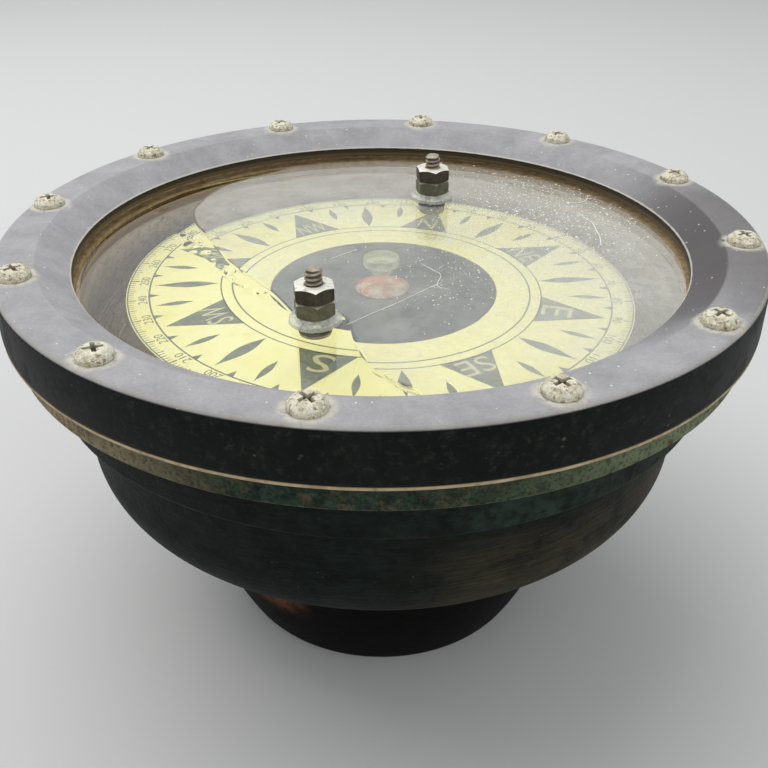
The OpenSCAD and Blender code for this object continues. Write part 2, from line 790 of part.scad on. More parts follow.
// Lower shell of the float: flange, wall, base and tunnel over the post
module float_bottom() {
    color("peru") difference() {
        rotate_extrude() polygon([[tunnel_top_r, z_card_seat], [tunnel_base_r, z_float_base],
            [float_r, z_float_base], [float_r, z_card_seat - sheet_t],
            [float_flange_r, z_card_seat - sheet_t], [float_flange_r, z_card_seat],
            [float_r - sheet_t, z_card_seat], [float_r - sheet_t, z_float_base + sheet_t],
            [tunnel_base_r + sheet_t, z_float_base + sheet_t],
            [tunnel_top_r + sheet_t, z_card_seat]]);
        rotate([0, 0, card_north]) on_circle(rivet_pcd, rivet_count, 0)
            translate([0, 0, z_card_seat - sheet_t - eps])
                cylinder(r = rivet_d / 2 + thread_fit, h = sheet_t + 2 * eps);
    }
}

// Spun copper cap over the setting
module float_cap() {
    color("coral") translate([0, 0, z_float_top]) rotate_extrude() polygon([
        [cap_r - cap_t, 0], [cap_r, 0], [cap_r, cap_rim_h], [cap_r - cap_slope_w, cap_h - cap_t],
        [0, cap_h], [0, cap_h - cap_t], [cap_r - cap_slope_w - cap_t, cap_h - 2 * cap_t],
        [cap_r - cap_t, cap_rim_h - cap_t / 2]]);
}

// Rivets with their heads under the float's flange
module card_rivets() {
    color("goldenrod") rotate([0, 0, card_north]) on_circle(rivet_pcd, rivet_count, 0) {
        translate([0, 0, z_card_seat - sheet_t]) cylinder(r = rivet_d / 2, h = sheet_t + card_t);
        translate([0, 0, z_card_seat - sheet_t - rivet_head_h])
            cylinder(r = rivet_head_d / 2, h = rivet_head_h);
    }
}

// Copies of the four magnets' axes, along the card's north line
module magnet_rods(r, spare) {
    for (side = [-1, 1]) {
        translate([side * inner_magnet_x, -inner_magnet_l / 2 - spare, z_magnet])
            rotate([-90, 0, 0]) cylinder(r = r, h = inner_magnet_l + 2 * spare);
        translate([side * outer_magnet_x, -outer_magnet_l / 2 - spare, z_magnet])
            rotate([-90, 0, 0]) cylinder(r = r, h = outer_magnet_l + 2 * spare);
    }
}

// Two crossbars soldered under the float, bored for the magnets
module magnet_bars() {
    color("goldenrod") rotate([0, 0, card_north - 90]) difference() {
        for (side = [-1, 1]) translate([-bar_l / 2, side * bar_y - bar_w / 2, z_float_base - bar_h])
            cube([bar_l, bar_w, bar_h]);
        magnet_rods(magnet_d / 2 + thread_fit, eps);
    }
}

module magnets() {
    color("dimgray") rotate([0, 0, card_north - 90]) magnet_rods(magnet_d / 2, 0);
}

bowl_body();
flange_seal();
bezel_ring();
bezel_screws();
glass_lower_seal();
cover_glass();
glass_upper_seal();
centre_stop();
terminal_studs();
terminal_inner_washers();
terminal_washers();
terminal_nuts();
terminal_lock_nuts();
foot_cover();
foot_screws();
ballast_weight();
pierced_diaphragm();  // expansion_diaphragm
diaphragm_seal();
diaphragm_clamp_ring();
diaphragm_screws();
pivot_bridge();
bridge_screws();
pivot_post();
pivot_lock_nut();
pivot_pin();
lubber_bracket();
lubber_pin();
filler_plug();
filler_washer();
pivot_jewel();
jewel_setting();
compass_card();
float_top();
float_bottom();
float_cap();
card_rivets();
magnet_bars();
magnets();
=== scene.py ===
"""Marine compass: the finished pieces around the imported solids.

Sizes inside the functions are millimetres, measured from the middle of the foot's resting face.
"""

import functools
import math
import random

import bmesh
import bpy
import numpy as np
from bpy.props import FloatProperty, FloatVectorProperty, IntProperty, PointerProperty
from mathutils import Matrix, Vector
from mathutils.geometry import delaunay_2d_cdt


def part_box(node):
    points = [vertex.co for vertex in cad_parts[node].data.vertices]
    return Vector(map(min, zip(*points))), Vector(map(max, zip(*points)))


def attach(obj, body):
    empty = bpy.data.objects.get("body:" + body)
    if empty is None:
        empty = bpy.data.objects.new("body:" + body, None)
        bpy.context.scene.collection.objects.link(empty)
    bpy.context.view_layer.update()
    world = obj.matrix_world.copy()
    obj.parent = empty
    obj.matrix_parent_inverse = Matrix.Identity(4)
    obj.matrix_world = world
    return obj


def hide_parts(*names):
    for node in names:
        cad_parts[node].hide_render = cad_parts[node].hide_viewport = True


bl_info = {
    "name": "Marine compass",
    "version": (1, 0, 0),
    "blender": (4, 5, 0),
    "location": "View3D > Sidebar > Compass",
    "description": "Builds the finished pieces of a liquid-filled marine compass around its packed solids",
    "category": "Object",
}

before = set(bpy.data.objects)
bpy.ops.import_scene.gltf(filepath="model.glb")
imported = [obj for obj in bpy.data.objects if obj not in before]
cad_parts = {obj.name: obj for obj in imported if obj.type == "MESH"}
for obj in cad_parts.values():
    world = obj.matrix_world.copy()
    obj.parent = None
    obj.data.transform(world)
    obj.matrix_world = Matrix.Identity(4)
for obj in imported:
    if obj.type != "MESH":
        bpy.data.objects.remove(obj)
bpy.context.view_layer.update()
MM = 0.001
SOLIDS = {name: (low / MM, high / MM) for name, (low, high) in ((n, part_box(n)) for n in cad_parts)}
SCREW_CIRCLE, SCREW_FIRST, SCREW_COUNT = 103.8, 21.7, 12
STUD_CIRCLE, STUD_FIRST = 49.0, 69.5
FILLER_TURN, FILLER_HEIGHT = 110, 84.0


def low_z(node):
    return SOLIDS[node][0].z


def high_z(node):
    return SOLIDS[node][1].z


def paint(red, green, blue):
    """Linear colour of an 8-bit screen colour, with full cover."""
    return (*((((c / 255) + 0.055) / 1.055) ** 2.4 if c > 10 else c / 255 / 12.92 for c in (red, green, blue)), 1.0)


# ---------------------------------------------------------------- meshes

def rounded(corners, steps=4):
    """Outline points of (radius, height, rounding) corners, each rounded by an arc."""
    points = []
    for i, (r, z, rounding) in enumerate(corners):
        here = Vector((r, z))
        if rounding <= 0:
            points.append((r, z))
            continue
        back = Vector(corners[i - 1][:2]) - here
        ahead = Vector(corners[(i + 1) % len(corners)][:2]) - here
        half = back.angle(ahead) / 2
        reach = min(rounding / math.tan(half), 0.48 * back.length, 0.48 * ahead.length)
        radius = reach * math.tan(half)
        middle = here + (back.normalized() + ahead.normalized()).normalized() * radius / math.sin(half)
        start = here + back.normalized() * reach - middle
        end = here + ahead.normalized() * reach - middle
        turn = start.angle_signed(end)
        for k in range(steps + 1):
            spot = Matrix.Rotation(-turn * k / steps, 2) @ start + middle
            points.append(tuple(spot))
    return points


def turned(bm, outline, turns, closed=True, radius_at=None):
    """Spins an outline of (radius, height) points round the axis. A point on the axis is a pole."""
    rings = []
    for r, z in outline:
        if r < 1e-6:
            rings.append([bm.verts.new((0, 0, z * MM))])
            continue
        ring = []
        for k in range(turns):
            a = 2 * math.pi * k / turns
            rr, zz = radius_at(r, z, a) if radius_at else (r, z)
            ring.append(bm.verts.new((rr * math.cos(a) * MM, rr * math.sin(a) * MM, zz * MM)))
        rings.append(ring)
    pairs = list(zip(rings, rings[1:])) + ([(rings[-1], rings[0])] if closed else [])
    for first, second in pairs:
        for k in range(turns):
            j = (k + 1) % turns
            if len(first) > 1 and len(second) > 1:
                bm.faces.new((first[k], first[j], second[j], second[k]))
            elif len(first) > 1:
                bm.faces.new((first[k], first[j], second[0]))
            elif len(second) > 1:
                bm.faces.new((first[0], second[j], second[k]))
    return [v for ring in rings for v in ring]


def shown(name, data, material=None):
    """A new object with this data, in the scene."""
    piece = bpy.data.objects.new(name, data)
    bpy.context.scene.collection.objects.link(piece)
    if material:
        data.materials.append(material)
    return piece


def smoothed(mesh, angle):
    """Shades a mesh smooth between the edges that are sharper than this angle."""
    mesh.shade_smooth()
    mesh.set_sharp_from_angle(angle=math.radians(angle))


def mesh_of(name, bm, material=None, smooth_angle=35.0):
    """A finished mesh piece at the origin: faces outward, shaded smooth between sharp edges."""
    bmesh.ops.recalc_face_normals(bm, faces=bm.faces)
    mesh = bpy.data.meshes.new(name)
    bm.to_mesh(mesh)
    bm.free()
    smoothed(mesh, smooth_angle)
    return shown(name, mesh, material)


def turned_piece(name, outline, turns, material=None, smooth_angle=35.0, **ways):
    """A piece spun round the axis from one outline."""
    bm = bmesh.new()
    turned(bm, outline, turns, **ways)
    return mesh_of(name, bm, material, smooth_angle)


def rods(name, *bars):
    """Round bars as one piece, each (radius, low, high, place, turns)."""
    bm = bmesh.new()
    for bar in bars:
        rod(bm, *bar)
    return mesh_of(name, bm)


def baked(piece, name, material=None):
    """The piece as it looks with its modifiers, as a plain mesh. The first one is removed."""
    bpy.context.view_layer.update()
    graph = bpy.context.evaluated_depsgraph_get()
    mesh = bpy.data.meshes.new_from_object(piece.evaluated_get(graph))
    materials = [material] if material else list(mesh.materials)
    bpy.data.objects.remove(piece)
    mesh.name = name
    mesh.materials.clear()
    for m in materials:
        mesh.materials.append(m)
    return shown(name, mesh)


def cut(piece, cutter, operation="DIFFERENCE"):
    """Cuts a piece by another, or joins the two, and removes the other."""
    name = piece.name
    change = piece.modifiers.new("cut", "BOOLEAN")
    change.operation = operation
    change.solver = "EXACT"
    change.object = cutter
    piece.name = name + "_uncut"
    made = baked(piece, name)
    bpy.data.objects.remove(cutter)
    if not made.data.polygons:
        raise RuntimeError(f"{name}: the cut left nothing")
    smoothed(made.data, 35)
    return made


def mark(piece, name, rule):
    """Keeps a value on each point of a piece, for its finish to read."""
    values = piece.data.attributes.new(name, "FLOAT", "POINT").data
    for value, vertex in zip(values, piece.data.vertices):
        value.value = rule(vertex.co / MM)


def rod(bm, radius, low, high, place=Matrix.Identity(4), turns=32):
    """Adds a plain round bar along Z from one height to another."""
    spots = turned(bm, [(0, low), (radius, low), (radius, high), (0, high)], turns, closed=False)
    bmesh.ops.transform(bm, matrix=place, verts=spots)


def prism(outline, low, high, name="shape"):
    """A thin plate with this outline, in millimetres."""
    bm = bmesh.new()
    bottom = [bm.verts.new((x * MM, y * MM, low * MM)) for x, y in outline]
    upper = [bm.verts.new((x * MM, y * MM, high * MM)) for x, y in outline]
    bm.faces.new(bottom)
    bm.faces.new(upper)
    for k in range(len(outline)):
        j = (k + 1) % len(outline)
        bm.faces.new((bottom[k], bottom[j], upper[j], upper[k]))
    return mesh_of(name, bm)


def arc(radius, start, end, count, middle=(0.0, 0.0)):
    """Points of an arc from one angle to another, with both ends."""
    return [(middle[0] + radius * math.cos(a), middle[1] + radius * math.sin(a))
            for a in (start + (end - start) * k / count for k in range(count + 1))]


def circle_holes(radius, low, high, circle, first, count, turns):
    """Bars for the holes on a circle."""
    return [(radius, low, high, around(circle, first + 360 / count * k), turns) for k in range(count)]


def screw_holes(s, radius, low, high):
    """Bars for the holes of the bezel screws."""
    return circle_holes(radius, low, high, s["screw_circle"], s["screw_first"], s["screw_count"], 16)


def around(radius, degrees, height=0.0):
    """Matrix of a place on a circle, turned to face outwards."""
    return Matrix.Rotation(math.radians(degrees), 4, "Z") @ Matrix.Translation((radius * MM, 0, height * MM))


def place_piece(piece, body, slot, *nodes):
    """Lets a piece ride on its body and stand for its solids."""
    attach(piece, body)
    if nodes:
        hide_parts(*nodes)


def smooth_copy(node, name, width, material):
    """A merged copy of a solid with its edges rounded."""
    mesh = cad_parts[node].data.copy()
    bm = bmesh.new()
    bm.from_mesh(mesh)
    bmesh.ops.remove_doubles(bm, verts=bm.verts, dist=1e-6)
    bmesh.ops.dissolve_limit(bm, angle_limit=math.radians(0.5), verts=bm.verts, edges=bm.edges)
    bm.to_mesh(mesh)
    bm.free()
    mesh.materials.clear()
    piece = shown(name + "_sharp", mesh)
    bevel = piece.modifiers.new("edges", "BEVEL")
    bevel.width = width * MM
    bevel.segments = 2
    bevel.limit_method = "ANGLE"
    bevel.angle_limit = math.radians(30)
    made = baked(piece, name, material)
    smoothed(made.data, 40)
    return made


# ---------------------------------------------------------------- node trees

class Sheet:
    """Short ways to add nodes to a tree and join them."""

    def __init__(self, tree):
        self.tree = tree

    def put(self, socket, value):
        """Feeds an input with a number, another socket or the first output of a node."""
        if isinstance(value, bpy.types.Node):
            value = value.outputs[0]
        if isinstance(value, bpy.types.NodeSocket):
            self.tree.links.new(value, socket)
        elif value is not None:
            socket.default_value = value

    def add(self, kind, inputs=None, **settings):
        node = self.tree.nodes.new(kind)
        for key, value in settings.items():
            setattr(node, key, value)
        for key, value in (inputs or {}).items():
            self.put(node.inputs[key], value)
        return node

    def math(self, operation, *values):
        node = self.add("ShaderNodeMath", operation=operation)
        for socket, value in zip(node.inputs, values):
            self.put(socket, value)
        return node.outputs[0]

    def plus(self, *values):
        return functools.reduce(lambda total, value: self.math("ADD", total, value), values)

    def minus(self, first, second):
        return self.math("SUBTRACT", first, second)

    def times(self, *values):
        return functools.reduce(lambda total, value: self.math("MULTIPLY", total, value), values)

    def reach(self, across, up):
        """Length of the diagonal of two distances."""
        return self.math("SQRT", self.plus(self.times(across, across), self.times(up, up)))

    def span(self, value, low, high, to_low=0.0, to_high=1.0):
        """Smooth step from one value to another."""
        node = self.add("ShaderNodeMapRange", interpolation_type="SMOOTHSTEP")
        for socket, entry in zip(node.inputs, (value, low, high, to_low, to_high)):
            self.put(socket, entry)
        return node.outputs[0]

    def mix(self, share, first, second):
        node = self.add("ShaderNodeMix", data_type="RGBA")
        for index, value in ((0, share), (6, first), (7, second)):
            self.put(node.inputs[index], value)
        return node.outputs[2]

    def vector(self, x=0.0, y=0.0, z=0.0):
        return self.add("ShaderNodeCombineXYZ", {0: x, 1: y, 2: z}).outputs[0]

    def noise(self, vector, scale, detail, roughness=0.6):
        inputs = {"Vector": vector, "Scale": scale, "Detail": detail, "Roughness": roughness}
        return self.add("ShaderNodeTexNoise", inputs).outputs["Fac"]

    def group(self, tree, inputs):
        return self.add("ShaderNodeGroup", inputs, node_tree=tree).outputs


def new_group(name, inputs, outputs, build, kind="ShaderNodeTree"):
    """A node group with named inputs and outputs, filled by a function that takes the inputs in their order."""
    tree = bpy.data.node_groups.new(name, kind)
    for label, socket_type, value in inputs:
        socket = tree.interface.new_socket(label, in_out="INPUT", socket_type=socket_type)
        if value is not None:
            socket.default_value = value
    for label, socket_type in outputs:
        tree.interface.new_socket(label, in_out="OUTPUT", socket_type=socket_type)
    sheet = Sheet(tree)
    entry = sheet.add("NodeGroupInput")
    sheet.add("NodeGroupOutput", build(sheet, *(s for s in entry.outputs if s.name)))
    return tree


FLOAT, VECTOR, INTEGER = "NodeSocketFloat", "NodeSocketVector", "NodeSocketInt"
EFFECTS = {}


def numbers(**values):
    """Number inputs with these names and default values."""
    return [(label.replace("_", " "), FLOAT, value) for label, value in values.items()]


def copies_group(name, inputs, build):
    """A node group that makes copies: its inputs, then the finish of the copies."""
    inputs = [("Geometry", "NodeSocketGeometry", None), *inputs, ("Material", "NodeSocketMaterial", None)]
    return new_group(name, inputs, [("Geometry", "NodeSocketGeometry")], build, "GeometryNodeTree")


def line_of_points(sheet, count):
    """A line of points to throw about, and the number of each."""
    return sheet.add("GeometryNodeMeshLine", {"Count": count}, mode="OFFSET"), sheet.add("GeometryNodeInputIndex")


def finished(sheet, geometry, material):
    """Result of a group: this geometry with its finish."""
    return {"Geometry": sheet.add("GeometryNodeSetMaterial", {"Geometry": geometry, "Material": material})}


def make_effects():
    """The shared effects: place on the object, patches, specks, edge wear and painted edge highlights, and turned
    lines.
    """

    def place(sheet, position):
        point = sheet.add("ShaderNodeVectorMath", {0: position, "Scale": 1 / MM}, operation="SCALE")
        x, y, z = sheet.add("ShaderNodeSeparateXYZ", {0: point}).outputs
        return {"Point": point, "Across": x, "Along": y, "Height": z, "Radius": sheet.reach(x, y),
                "Angle": sheet.math("ARCTAN2", y, x)}

    def patches(sheet, point, size, cover, softness, seed):
        moved = sheet.add("ShaderNodeVectorMath", {0: point, 1: seed}, operation="ADD")
        noise = sheet.noise(moved, sheet.math("DIVIDE", 1.0, size), 6.0, 0.65)
        limit = sheet.minus(0.7, sheet.times(cover, 0.4))
        soft = sheet.times(softness, 0.1)
        return {"Mask": sheet.span(noise, sheet.minus(limit, soft), sheet.plus(limit, soft))}

    def specks(sheet, point, spacing, size, share):
        scale = sheet.math("DIVIDE", 1.0, spacing)
        cells = sheet.add("ShaderNodeTexVoronoi", {"Vector": point, "Scale": scale}).outputs
        chance, larger, _ = sheet.add("ShaderNodeSeparateColor", {0: cells["Color"]}).outputs
        reach = sheet.times(size, sheet.plus(0.4, larger))
        dot = sheet.span(cells["Distance"], reach, sheet.times(reach, 0.6))
        return {"Mask": sheet.times(dot, sheet.math("LESS_THAN", chance, share))}

    def worn_edge(sheet, point, radius, height, edge_radius, edge_height, width, ragged):
        away = sheet.reach(sheet.minus(radius, edge_radius), sheet.minus(height, edge_height))
        rough = sheet.minus(sheet.noise(point, 0.45, 5.0, 0.7), 0.5)
        away = sheet.plus(away, sheet.times(rough, ragged))
        return {"Mask": sheet.span(away, width, sheet.times(width, 0.3))}

    def turned_lines(sheet, radius, height, angle, fineness, stretch):
        lines = sheet.vector(*(sheet.times(place, scale) for place, scale in (
            (radius, fineness), (angle, stretch), (height, fineness))))
        return {"Mask": sheet.span(sheet.noise(lines, 1.0, 5.0, 0.7), 0.3, 0.7)}

    def off_screws(sheet, radius, angle, circle, count, first):
        step = sheet.math("DIVIDE", 2 * math.pi, count)
        turn = sheet.minus(angle, first)
        nearest = sheet.times(step, sheet.math("ROUND", sheet.math("DIVIDE", turn, step)))
        along = sheet.times(sheet.minus(turn, nearest), radius)
        return {"Distance": sheet.reach(sheet.minus(radius, circle), along)}

    point, mask = ("Point", VECTOR, None), [("Mask", FLOAT)]
    for name, inputs, outputs, build in (
            ("distance_from_screws", numbers(Radius=0.0, Angle=0.0, Circle=SCREW_CIRCLE, Count=SCREW_COUNT,
                                             First=math.radians(SCREW_FIRST)), [("Distance", FLOAT)], off_screws),
            ("place_on_object", [("Position", VECTOR, None)], [("Point", VECTOR), *(
                (label, FLOAT) for label in ("Across", "Along", "Height", "Radius", "Angle"))], place),
            ("patches", [point, *numbers(Size=8.0, Cover=0.5, Softness=0.5), ("Seed", VECTOR, None)], mask, patches),
            ("specks", [point, *numbers(Spacing=1.0, Size=0.25, Share=0.3)], mask, specks),
            ("worn_edge", [point, *numbers(Radius=0.0, Height=0.0, Edge_Radius=0.0, Edge_Height=0.0, Width=1.0,
                                           Ragged=1.0)], mask, worn_edge),
            ("turned_lines", numbers(Radius=0.0, Height=0.0, Angle=0.0, Fineness=3.0, Length=3.0), mask, turned_lines)):
        EFFECTS[name] = new_group(name, inputs, outputs, build)


class Finish:
    """One material on its way: its sheet, its place on the object and the colour so far."""

    def __init__(self, name, colour, roughness, metallic=0.0):
        self.material = bpy.data.materials.new(name)
        self.material.use_nodes = True
        self.material.node_tree.nodes.clear()
        self.sheet = Sheet(self.material.node_tree)
        coordinates = self.sheet.add("ShaderNodeTexCoord")
        self.place = self.sheet.group(EFFECTS["place_on_object"], {"Position": coordinates.outputs["Object"]})
        self.facing = self.sheet.add("ShaderNodeSeparateXYZ", {0: coordinates.outputs["Normal"]}).outputs[2]
        self.colour, self.roughness, self.metallic = paint(*colour), roughness, metallic
        self.height = None
        self.extra = {}

    def effect(self, name, places, **values):
        """Result of a shared effect, fed with some of the places and with these values."""
        inputs = {label: self.place[label] for label in places}
        inputs.update((label.replace("_", " "), value) for label, value in values.items())
        return self.sheet.group(EFFECTS[name], inputs)[0]

    def patches(self, size, cover, softness=0.5, seed=0.0):
        return self.effect("patches", ("Point",), Size=size, Cover=cover, Softness=softness,
                           Seed=(seed, seed * 0.7, seed * 0.3))

    def specks(self, spacing, size, share):
        return self.effect("specks", ("Point",), Spacing=spacing, Size=size, Share=share)

    def edge(self, radius, height, width, ragged):
        return self.effect("worn_edge", ("Point", "Radius", "Height"), Edge_Radius=radius, Edge_Height=height,
                           Width=width, Ragged=ragged)

    def lines(self, fineness, length):
        return self.effect("turned_lines", ("Radius", "Height", "Angle"), Fineness=fineness, Length=length)

    def off_screws(self):
        return self.effect("distance_from_screws", ("Radius", "Angle"))

    def marked(self, name):
        """Value of an attribute that the mesh carries."""
        return self.sheet.add("ShaderNodeAttribute", attribute_name=name).outputs["Fac"]

    def between(self, what, low, high):
        """Mask that rises from one place to another."""
        return self.sheet.span(self.place[what], low, high)

    def both(self, *masks):
        """Where all of these masks are."""
        return self.sheet.times(*masks)

    def coat(self, masks, colour, roughness, metallic=None, share=1.0):
        """Lays another finish over the one so far, where the mask is, or all of several masks are."""
        mask = self.both(*masks) if isinstance(masks, tuple) else masks
        if share != 1.0:
            mask = self.sheet.times(mask, share)
        self.colour = self.sheet.mix(mask, self.colour, paint(*colour) if isinstance(colour, tuple) else colour)
        self.roughness = self.sheet.span(mask, 0.0, 1.0, self.roughness, roughness)
        if metallic is not None:
            self.metallic = self.sheet.span(mask, 0.0, 1.0, self.metallic, metallic)

    def relief(self, height, depth):
        """Adds a height pattern, its depth in millimetres."""
        scaled = self.sheet.times(height, depth)
        self.height = scaled if self.height is None else self.sheet.plus(self.height, scaled)
        return self

    def shader(self):
        inputs = {"Base Color": self.colour, "Roughness": self.roughness, "Metallic": self.metallic, **self.extra}
        if self.height is not None:
            bump = {"Height": self.height, "Distance": MM, "Strength": 1.0}
            inputs["Normal"] = self.sheet.add("ShaderNodeBump", bump)
        return self.sheet.add("ShaderNodeBsdfPrincipled", inputs)

    def done(self, surface=None):
        self.sheet.add("ShaderNodeOutputMaterial", {"Surface": surface or self.shader()})
        return self.material

    def done_clear(self):
        """See-through finish that lets the light for other pieces pass straight."""
        path = self.sheet.add("ShaderNodeLightPath").outputs
        straight = self.sheet.math("MAXIMUM", path["Is Shadow Ray"], path["Is Diffuse Ray"])
        clear = self.sheet.add("ShaderNodeBsdfTransparent")
        return self.done(self.sheet.add("ShaderNodeMixShader", {0: straight, 1: self.shader(), 2: clear}))


MATERIALS = {}


def make_materials():
    """Every finish of the compass, by name."""
    make_effects()
    m = MATERIALS

    # black enamel of the ring, worn where hands and salt reach it; its upward faces are painted grey, partly worn
    # enamel and partly a painted sheen of the light overhead
    f = Finish("worn_enamel", (9, 12, 11), 0.5)
    f.extra = {"Specular IOR Level": 0.1}
    f.coat(f.patches(7, 0.4, 0.8), (19, 22, 20), 0.6)
    f.coat((f.patches(2.2, 0.3, 0.8, 6), f.lines(0.8, 9.0)), (52, 55, 48), 0.7, share=0.6)
    f.coat((f.specks(2.4, 0.2, 0.3), f.patches(9, 0.4, 0.8, 8)), (92, 86, 70), 0.7, share=0.7)
    # grey colour of the upward faces: partly worn, dusty enamel and partly a painted sheen of the light overhead
    up = f.sheet.span(f.facing, 0.2, 0.5)
    top = paint(150, 149, 151)
    for mask, share, colour in (
            (f.patches(16, 0.5, 2.2, 7), 1.0, (172, 171, 173)),
            (f.patches(5, 0.4, 1.6, 2), 0.25, (192, 190, 192)),
            (f.patches(0.7, 0.5, 2.0, 3), 0.22, (112, 110, 112)),
            # the right side of the top and the slope inside the land on the right are painted darker: painted shade
            (f.both(f.between("Across", 62, 104), f.between("Along", 52, 20), f.between("Along", -78, -45)),
             0.7, (98, 95, 93)),
            (f.both(f.between("Radius", 99.0, 98.0), f.between("Across", 30, 92), f.between("Along", 70, -5),
                    f.between("Along", -80, -50)), 0.85, (84, 81, 80))):
        top = f.sheet.mix(f.sheet.times(mask, share), top, paint(*colour))
    f.coat(up, top, 0.55)
    halo = f.both(up, f.sheet.span(f.off_screws(), 7.4, 4.8), f.patches(1.8, 0.66, 1.0, 12))
    f.coat(halo, (206, 203, 186), 0.8, share=0.9)
    f.coat((up, f.specks(1.7, 0.16, 0.2)), (214, 212, 208), 0.7)
    # light bands along the outer top edge and along the edge of the opening: painted highlights
    f.coat(f.edge(109.6, 128.3, 0.8, 1.6), (176, 170, 156), 0.4, share=0.5)
    f.coat(f.edge(89.6, 123.3, 0.45, 0.5), (214, 210, 196), 0.4, share=0.75)
    inner = f.between("Radius", 90.4, 89.9)
    # a dark line high on the lip's upright face: painted shadow
    f.coat((inner, f.between("Height", 122.9, 122.5)), (70, 62, 48), 0.5)
    f.coat((inner, f.between("Height", 121.9, 121.0)), (112, 96, 72), 0.5)
    f.relief(f.patches(0.8, 0.5, 2.0, 5), 0.012).relief(f.patches(6, 0.5, 3.0), 0.04)
    f.relief(f.lines(0.5, 5.0), 0.012)
    m["enamel"] = f.done()

    # bronze casting of the bowl: green-black, tan and verdigris on the flange
    f = Finish("bowl_casting", (5, 10, 9), 0.55)
    f.extra = {"Specular IOR Level": 0.08}
    f.coat(f.patches(9, 0.45, 1.2), (9, 16, 14), 0.6)
    f.coat((f.lines(0.9, 12.0), f.patches(14, 0.5, 1.5, 2)), (24, 33, 29), 0.6, share=0.8)
    f.coat((f.lines(3.0, 9.0), f.patches(6, 0.4, 1.5, 12)), (40, 46, 40), 0.6, share=0.5)
    step = f.both(f.between("Height", 88.8, 89.8), f.between("Across", -14, 48))
    f.coat((step, f.patches(2.6, 0.6, 1.4, 3), f.patches(11, 0.6, 1.6, 8)), (56, 72, 62), 0.7, share=0.7)
    low_right = f.both(f.between("Across", -4, 30), f.between("Height", 88, 70), f.patches(13, 0.62, 1.4, 5))
    f.coat((low_right, f.lines(4.5, 7.0)), (84, 74, 56), 0.5, share=0.7)
    f.coat((f.specks(1.3, 0.2, 0.16), f.patches(20, 0.5, 1.0, 2)), (74, 72, 64), 0.6, share=0.6)
    flange = f.between("Height", 103.9, 104.6)
    f.coat(flange, (22, 29, 25), 0.65)
    f.coat((flange, f.patches(2.6, 0.55, 1.8, 9)), (52, 68, 56), 0.8)
    f.coat((flange, f.between("Across", 10, 80), f.patches(5, 0.8, 1.5, 1)), (116, 128, 98), 0.75)
    f.coat((flange, f.between("Across", -25, -80), f.patches(7, 0.8, 2.0, 4)), (150, 136, 106), 0.6)
    f.coat((flange, f.patches(4, 0.35, 0.8, 15)), (104, 90, 66), 0.7, share=0.5)
    f.coat((flange, f.patches(1.1, 0.36, 0.9, 11)), (18, 23, 20), 0.8, share=0.6)
    f.coat(f.edge(107, 104.5, 0.7, 1.6), (128, 124, 100), 0.4, share=0.35)
    f.coat(f.edge(98.7, 89.5, 0.8, 1.6), (72, 72, 62), 0.4, share=0.3)
    f.relief(f.patches(1.2, 0.5, 2.5, 8), 0.08).relief(f.patches(9, 0.5, 3.0), 0.15).relief(f.lines(0.9, 12.0), 0.04)
    m["casting"] = f.done()

    f = Finish("bowl_inside", (206, 186, 142), 0.6)
    f.coat(f.patches(12, 0.5, 1.5, 6), (176, 154, 108), 0.6)
    high = f.between("Height", 99, 104)
    f.coat((high, f.between("Across", 70, 20)), (128, 102, 68), 0.5, share=0.9)
    f.coat((high, f.between("Across", 78, 84)), (126, 112, 78), 0.5, share=0.9)
    f.coat(f.patches(3, 0.35, 1.0, 2), (140, 122, 92), 0.7, share=0.7)
    f.coat((f.between("Height", 107.5, 109.5), f.lines(0.3, 4.0)), (182, 152, 110), 0.5, share=0.8)
    m["inside"] = f.done()

    f = Finish("foot_casting", (4, 4, 4), 0.55)
    f.extra = {"Specular IOR Level": 0.06}
    f.coat(f.patches(8, 0.4, 1.0), (8, 8, 7), 0.6)
    f.coat((f.lines(0.9, 12.0), f.patches(9, 0.4, 1.0, 8)), (18, 17, 15), 0.6, share=0.7)
    bare = f.both(f.between("Across", -20, -32), f.between("Along", 24, -12), f.between("Height", 18, 30))
    f.coat((bare, f.patches(5, 0.62, 1.6, 3)), (140, 90, 62), 0.4, share=0.9)
    f.coat(f.edge(48.9, 1.2, 1.1, 1.5), (78, 66, 50), 0.4, share=0.4)
    f.relief(f.patches(1.2, 0.5, 2.5, 8), 0.06)
    m["foot"] = f.done()

    f = Finish("flange_gasket", (176, 156, 122), 0.6)
    f.coat(f.patches(5, 0.45, 1.0), (156, 136, 104), 0.7)
    f.coat(f.patches(9, 0.35, 0.8, 3), (190, 170, 136), 0.55)
    # the bead's top, under the ring's edge, painted dark: painted shadow of the ring
    f.coat(f.between("Height", 113.0, 113.3), (84, 68, 44), 0.7)
    f.coat(f.patches(1.6, 0.25, 0.6, 7), (120, 102, 74), 0.8, share=0.6)
    f.relief(f.patches(0.6, 0.5, 2.0), 0.02)
    m["gasket"] = f.done()

    # corroded plating of the pan heads
    f = Finish("screw_plating", (228, 224, 202), 0.5, 0.1)
    f.coat(f.patches(2.0, 0.45, 1.0), (196, 190, 160), 0.65)
    f.coat(f.patches(1.1, 0.32, 0.6, 4), (140, 118, 84), 0.7, 0.0)
    f.coat(f.patches(0.7, 0.3, 0.5, 9), (244, 240, 226), 0.6, share=0.8)
    # the cross recess painted dark: painted shade
    f.coat(f.marked("recess"), (74, 58, 42), 0.85, 0.0, share=0.9)
    f.relief(f.patches(0.9, 0.5, 2.0), 0.14).relief(f.patches(0.4, 0.5, 2.0, 6), 0.05)
    m["screw"] = f.done()

    f = Finish("stud_metal", (176, 166, 148), 0.42, 0.25)
    f.coat(f.patches(1.6, 0.45, 1.0), (140, 128, 108), 0.55, 0.1)
    # the thread's grooves painted dark: painted shade
    f.coat(f.marked("groove"), (70, 60, 46), 0.8, 0.0, share=0.85)
    m["stud"] = f.done()

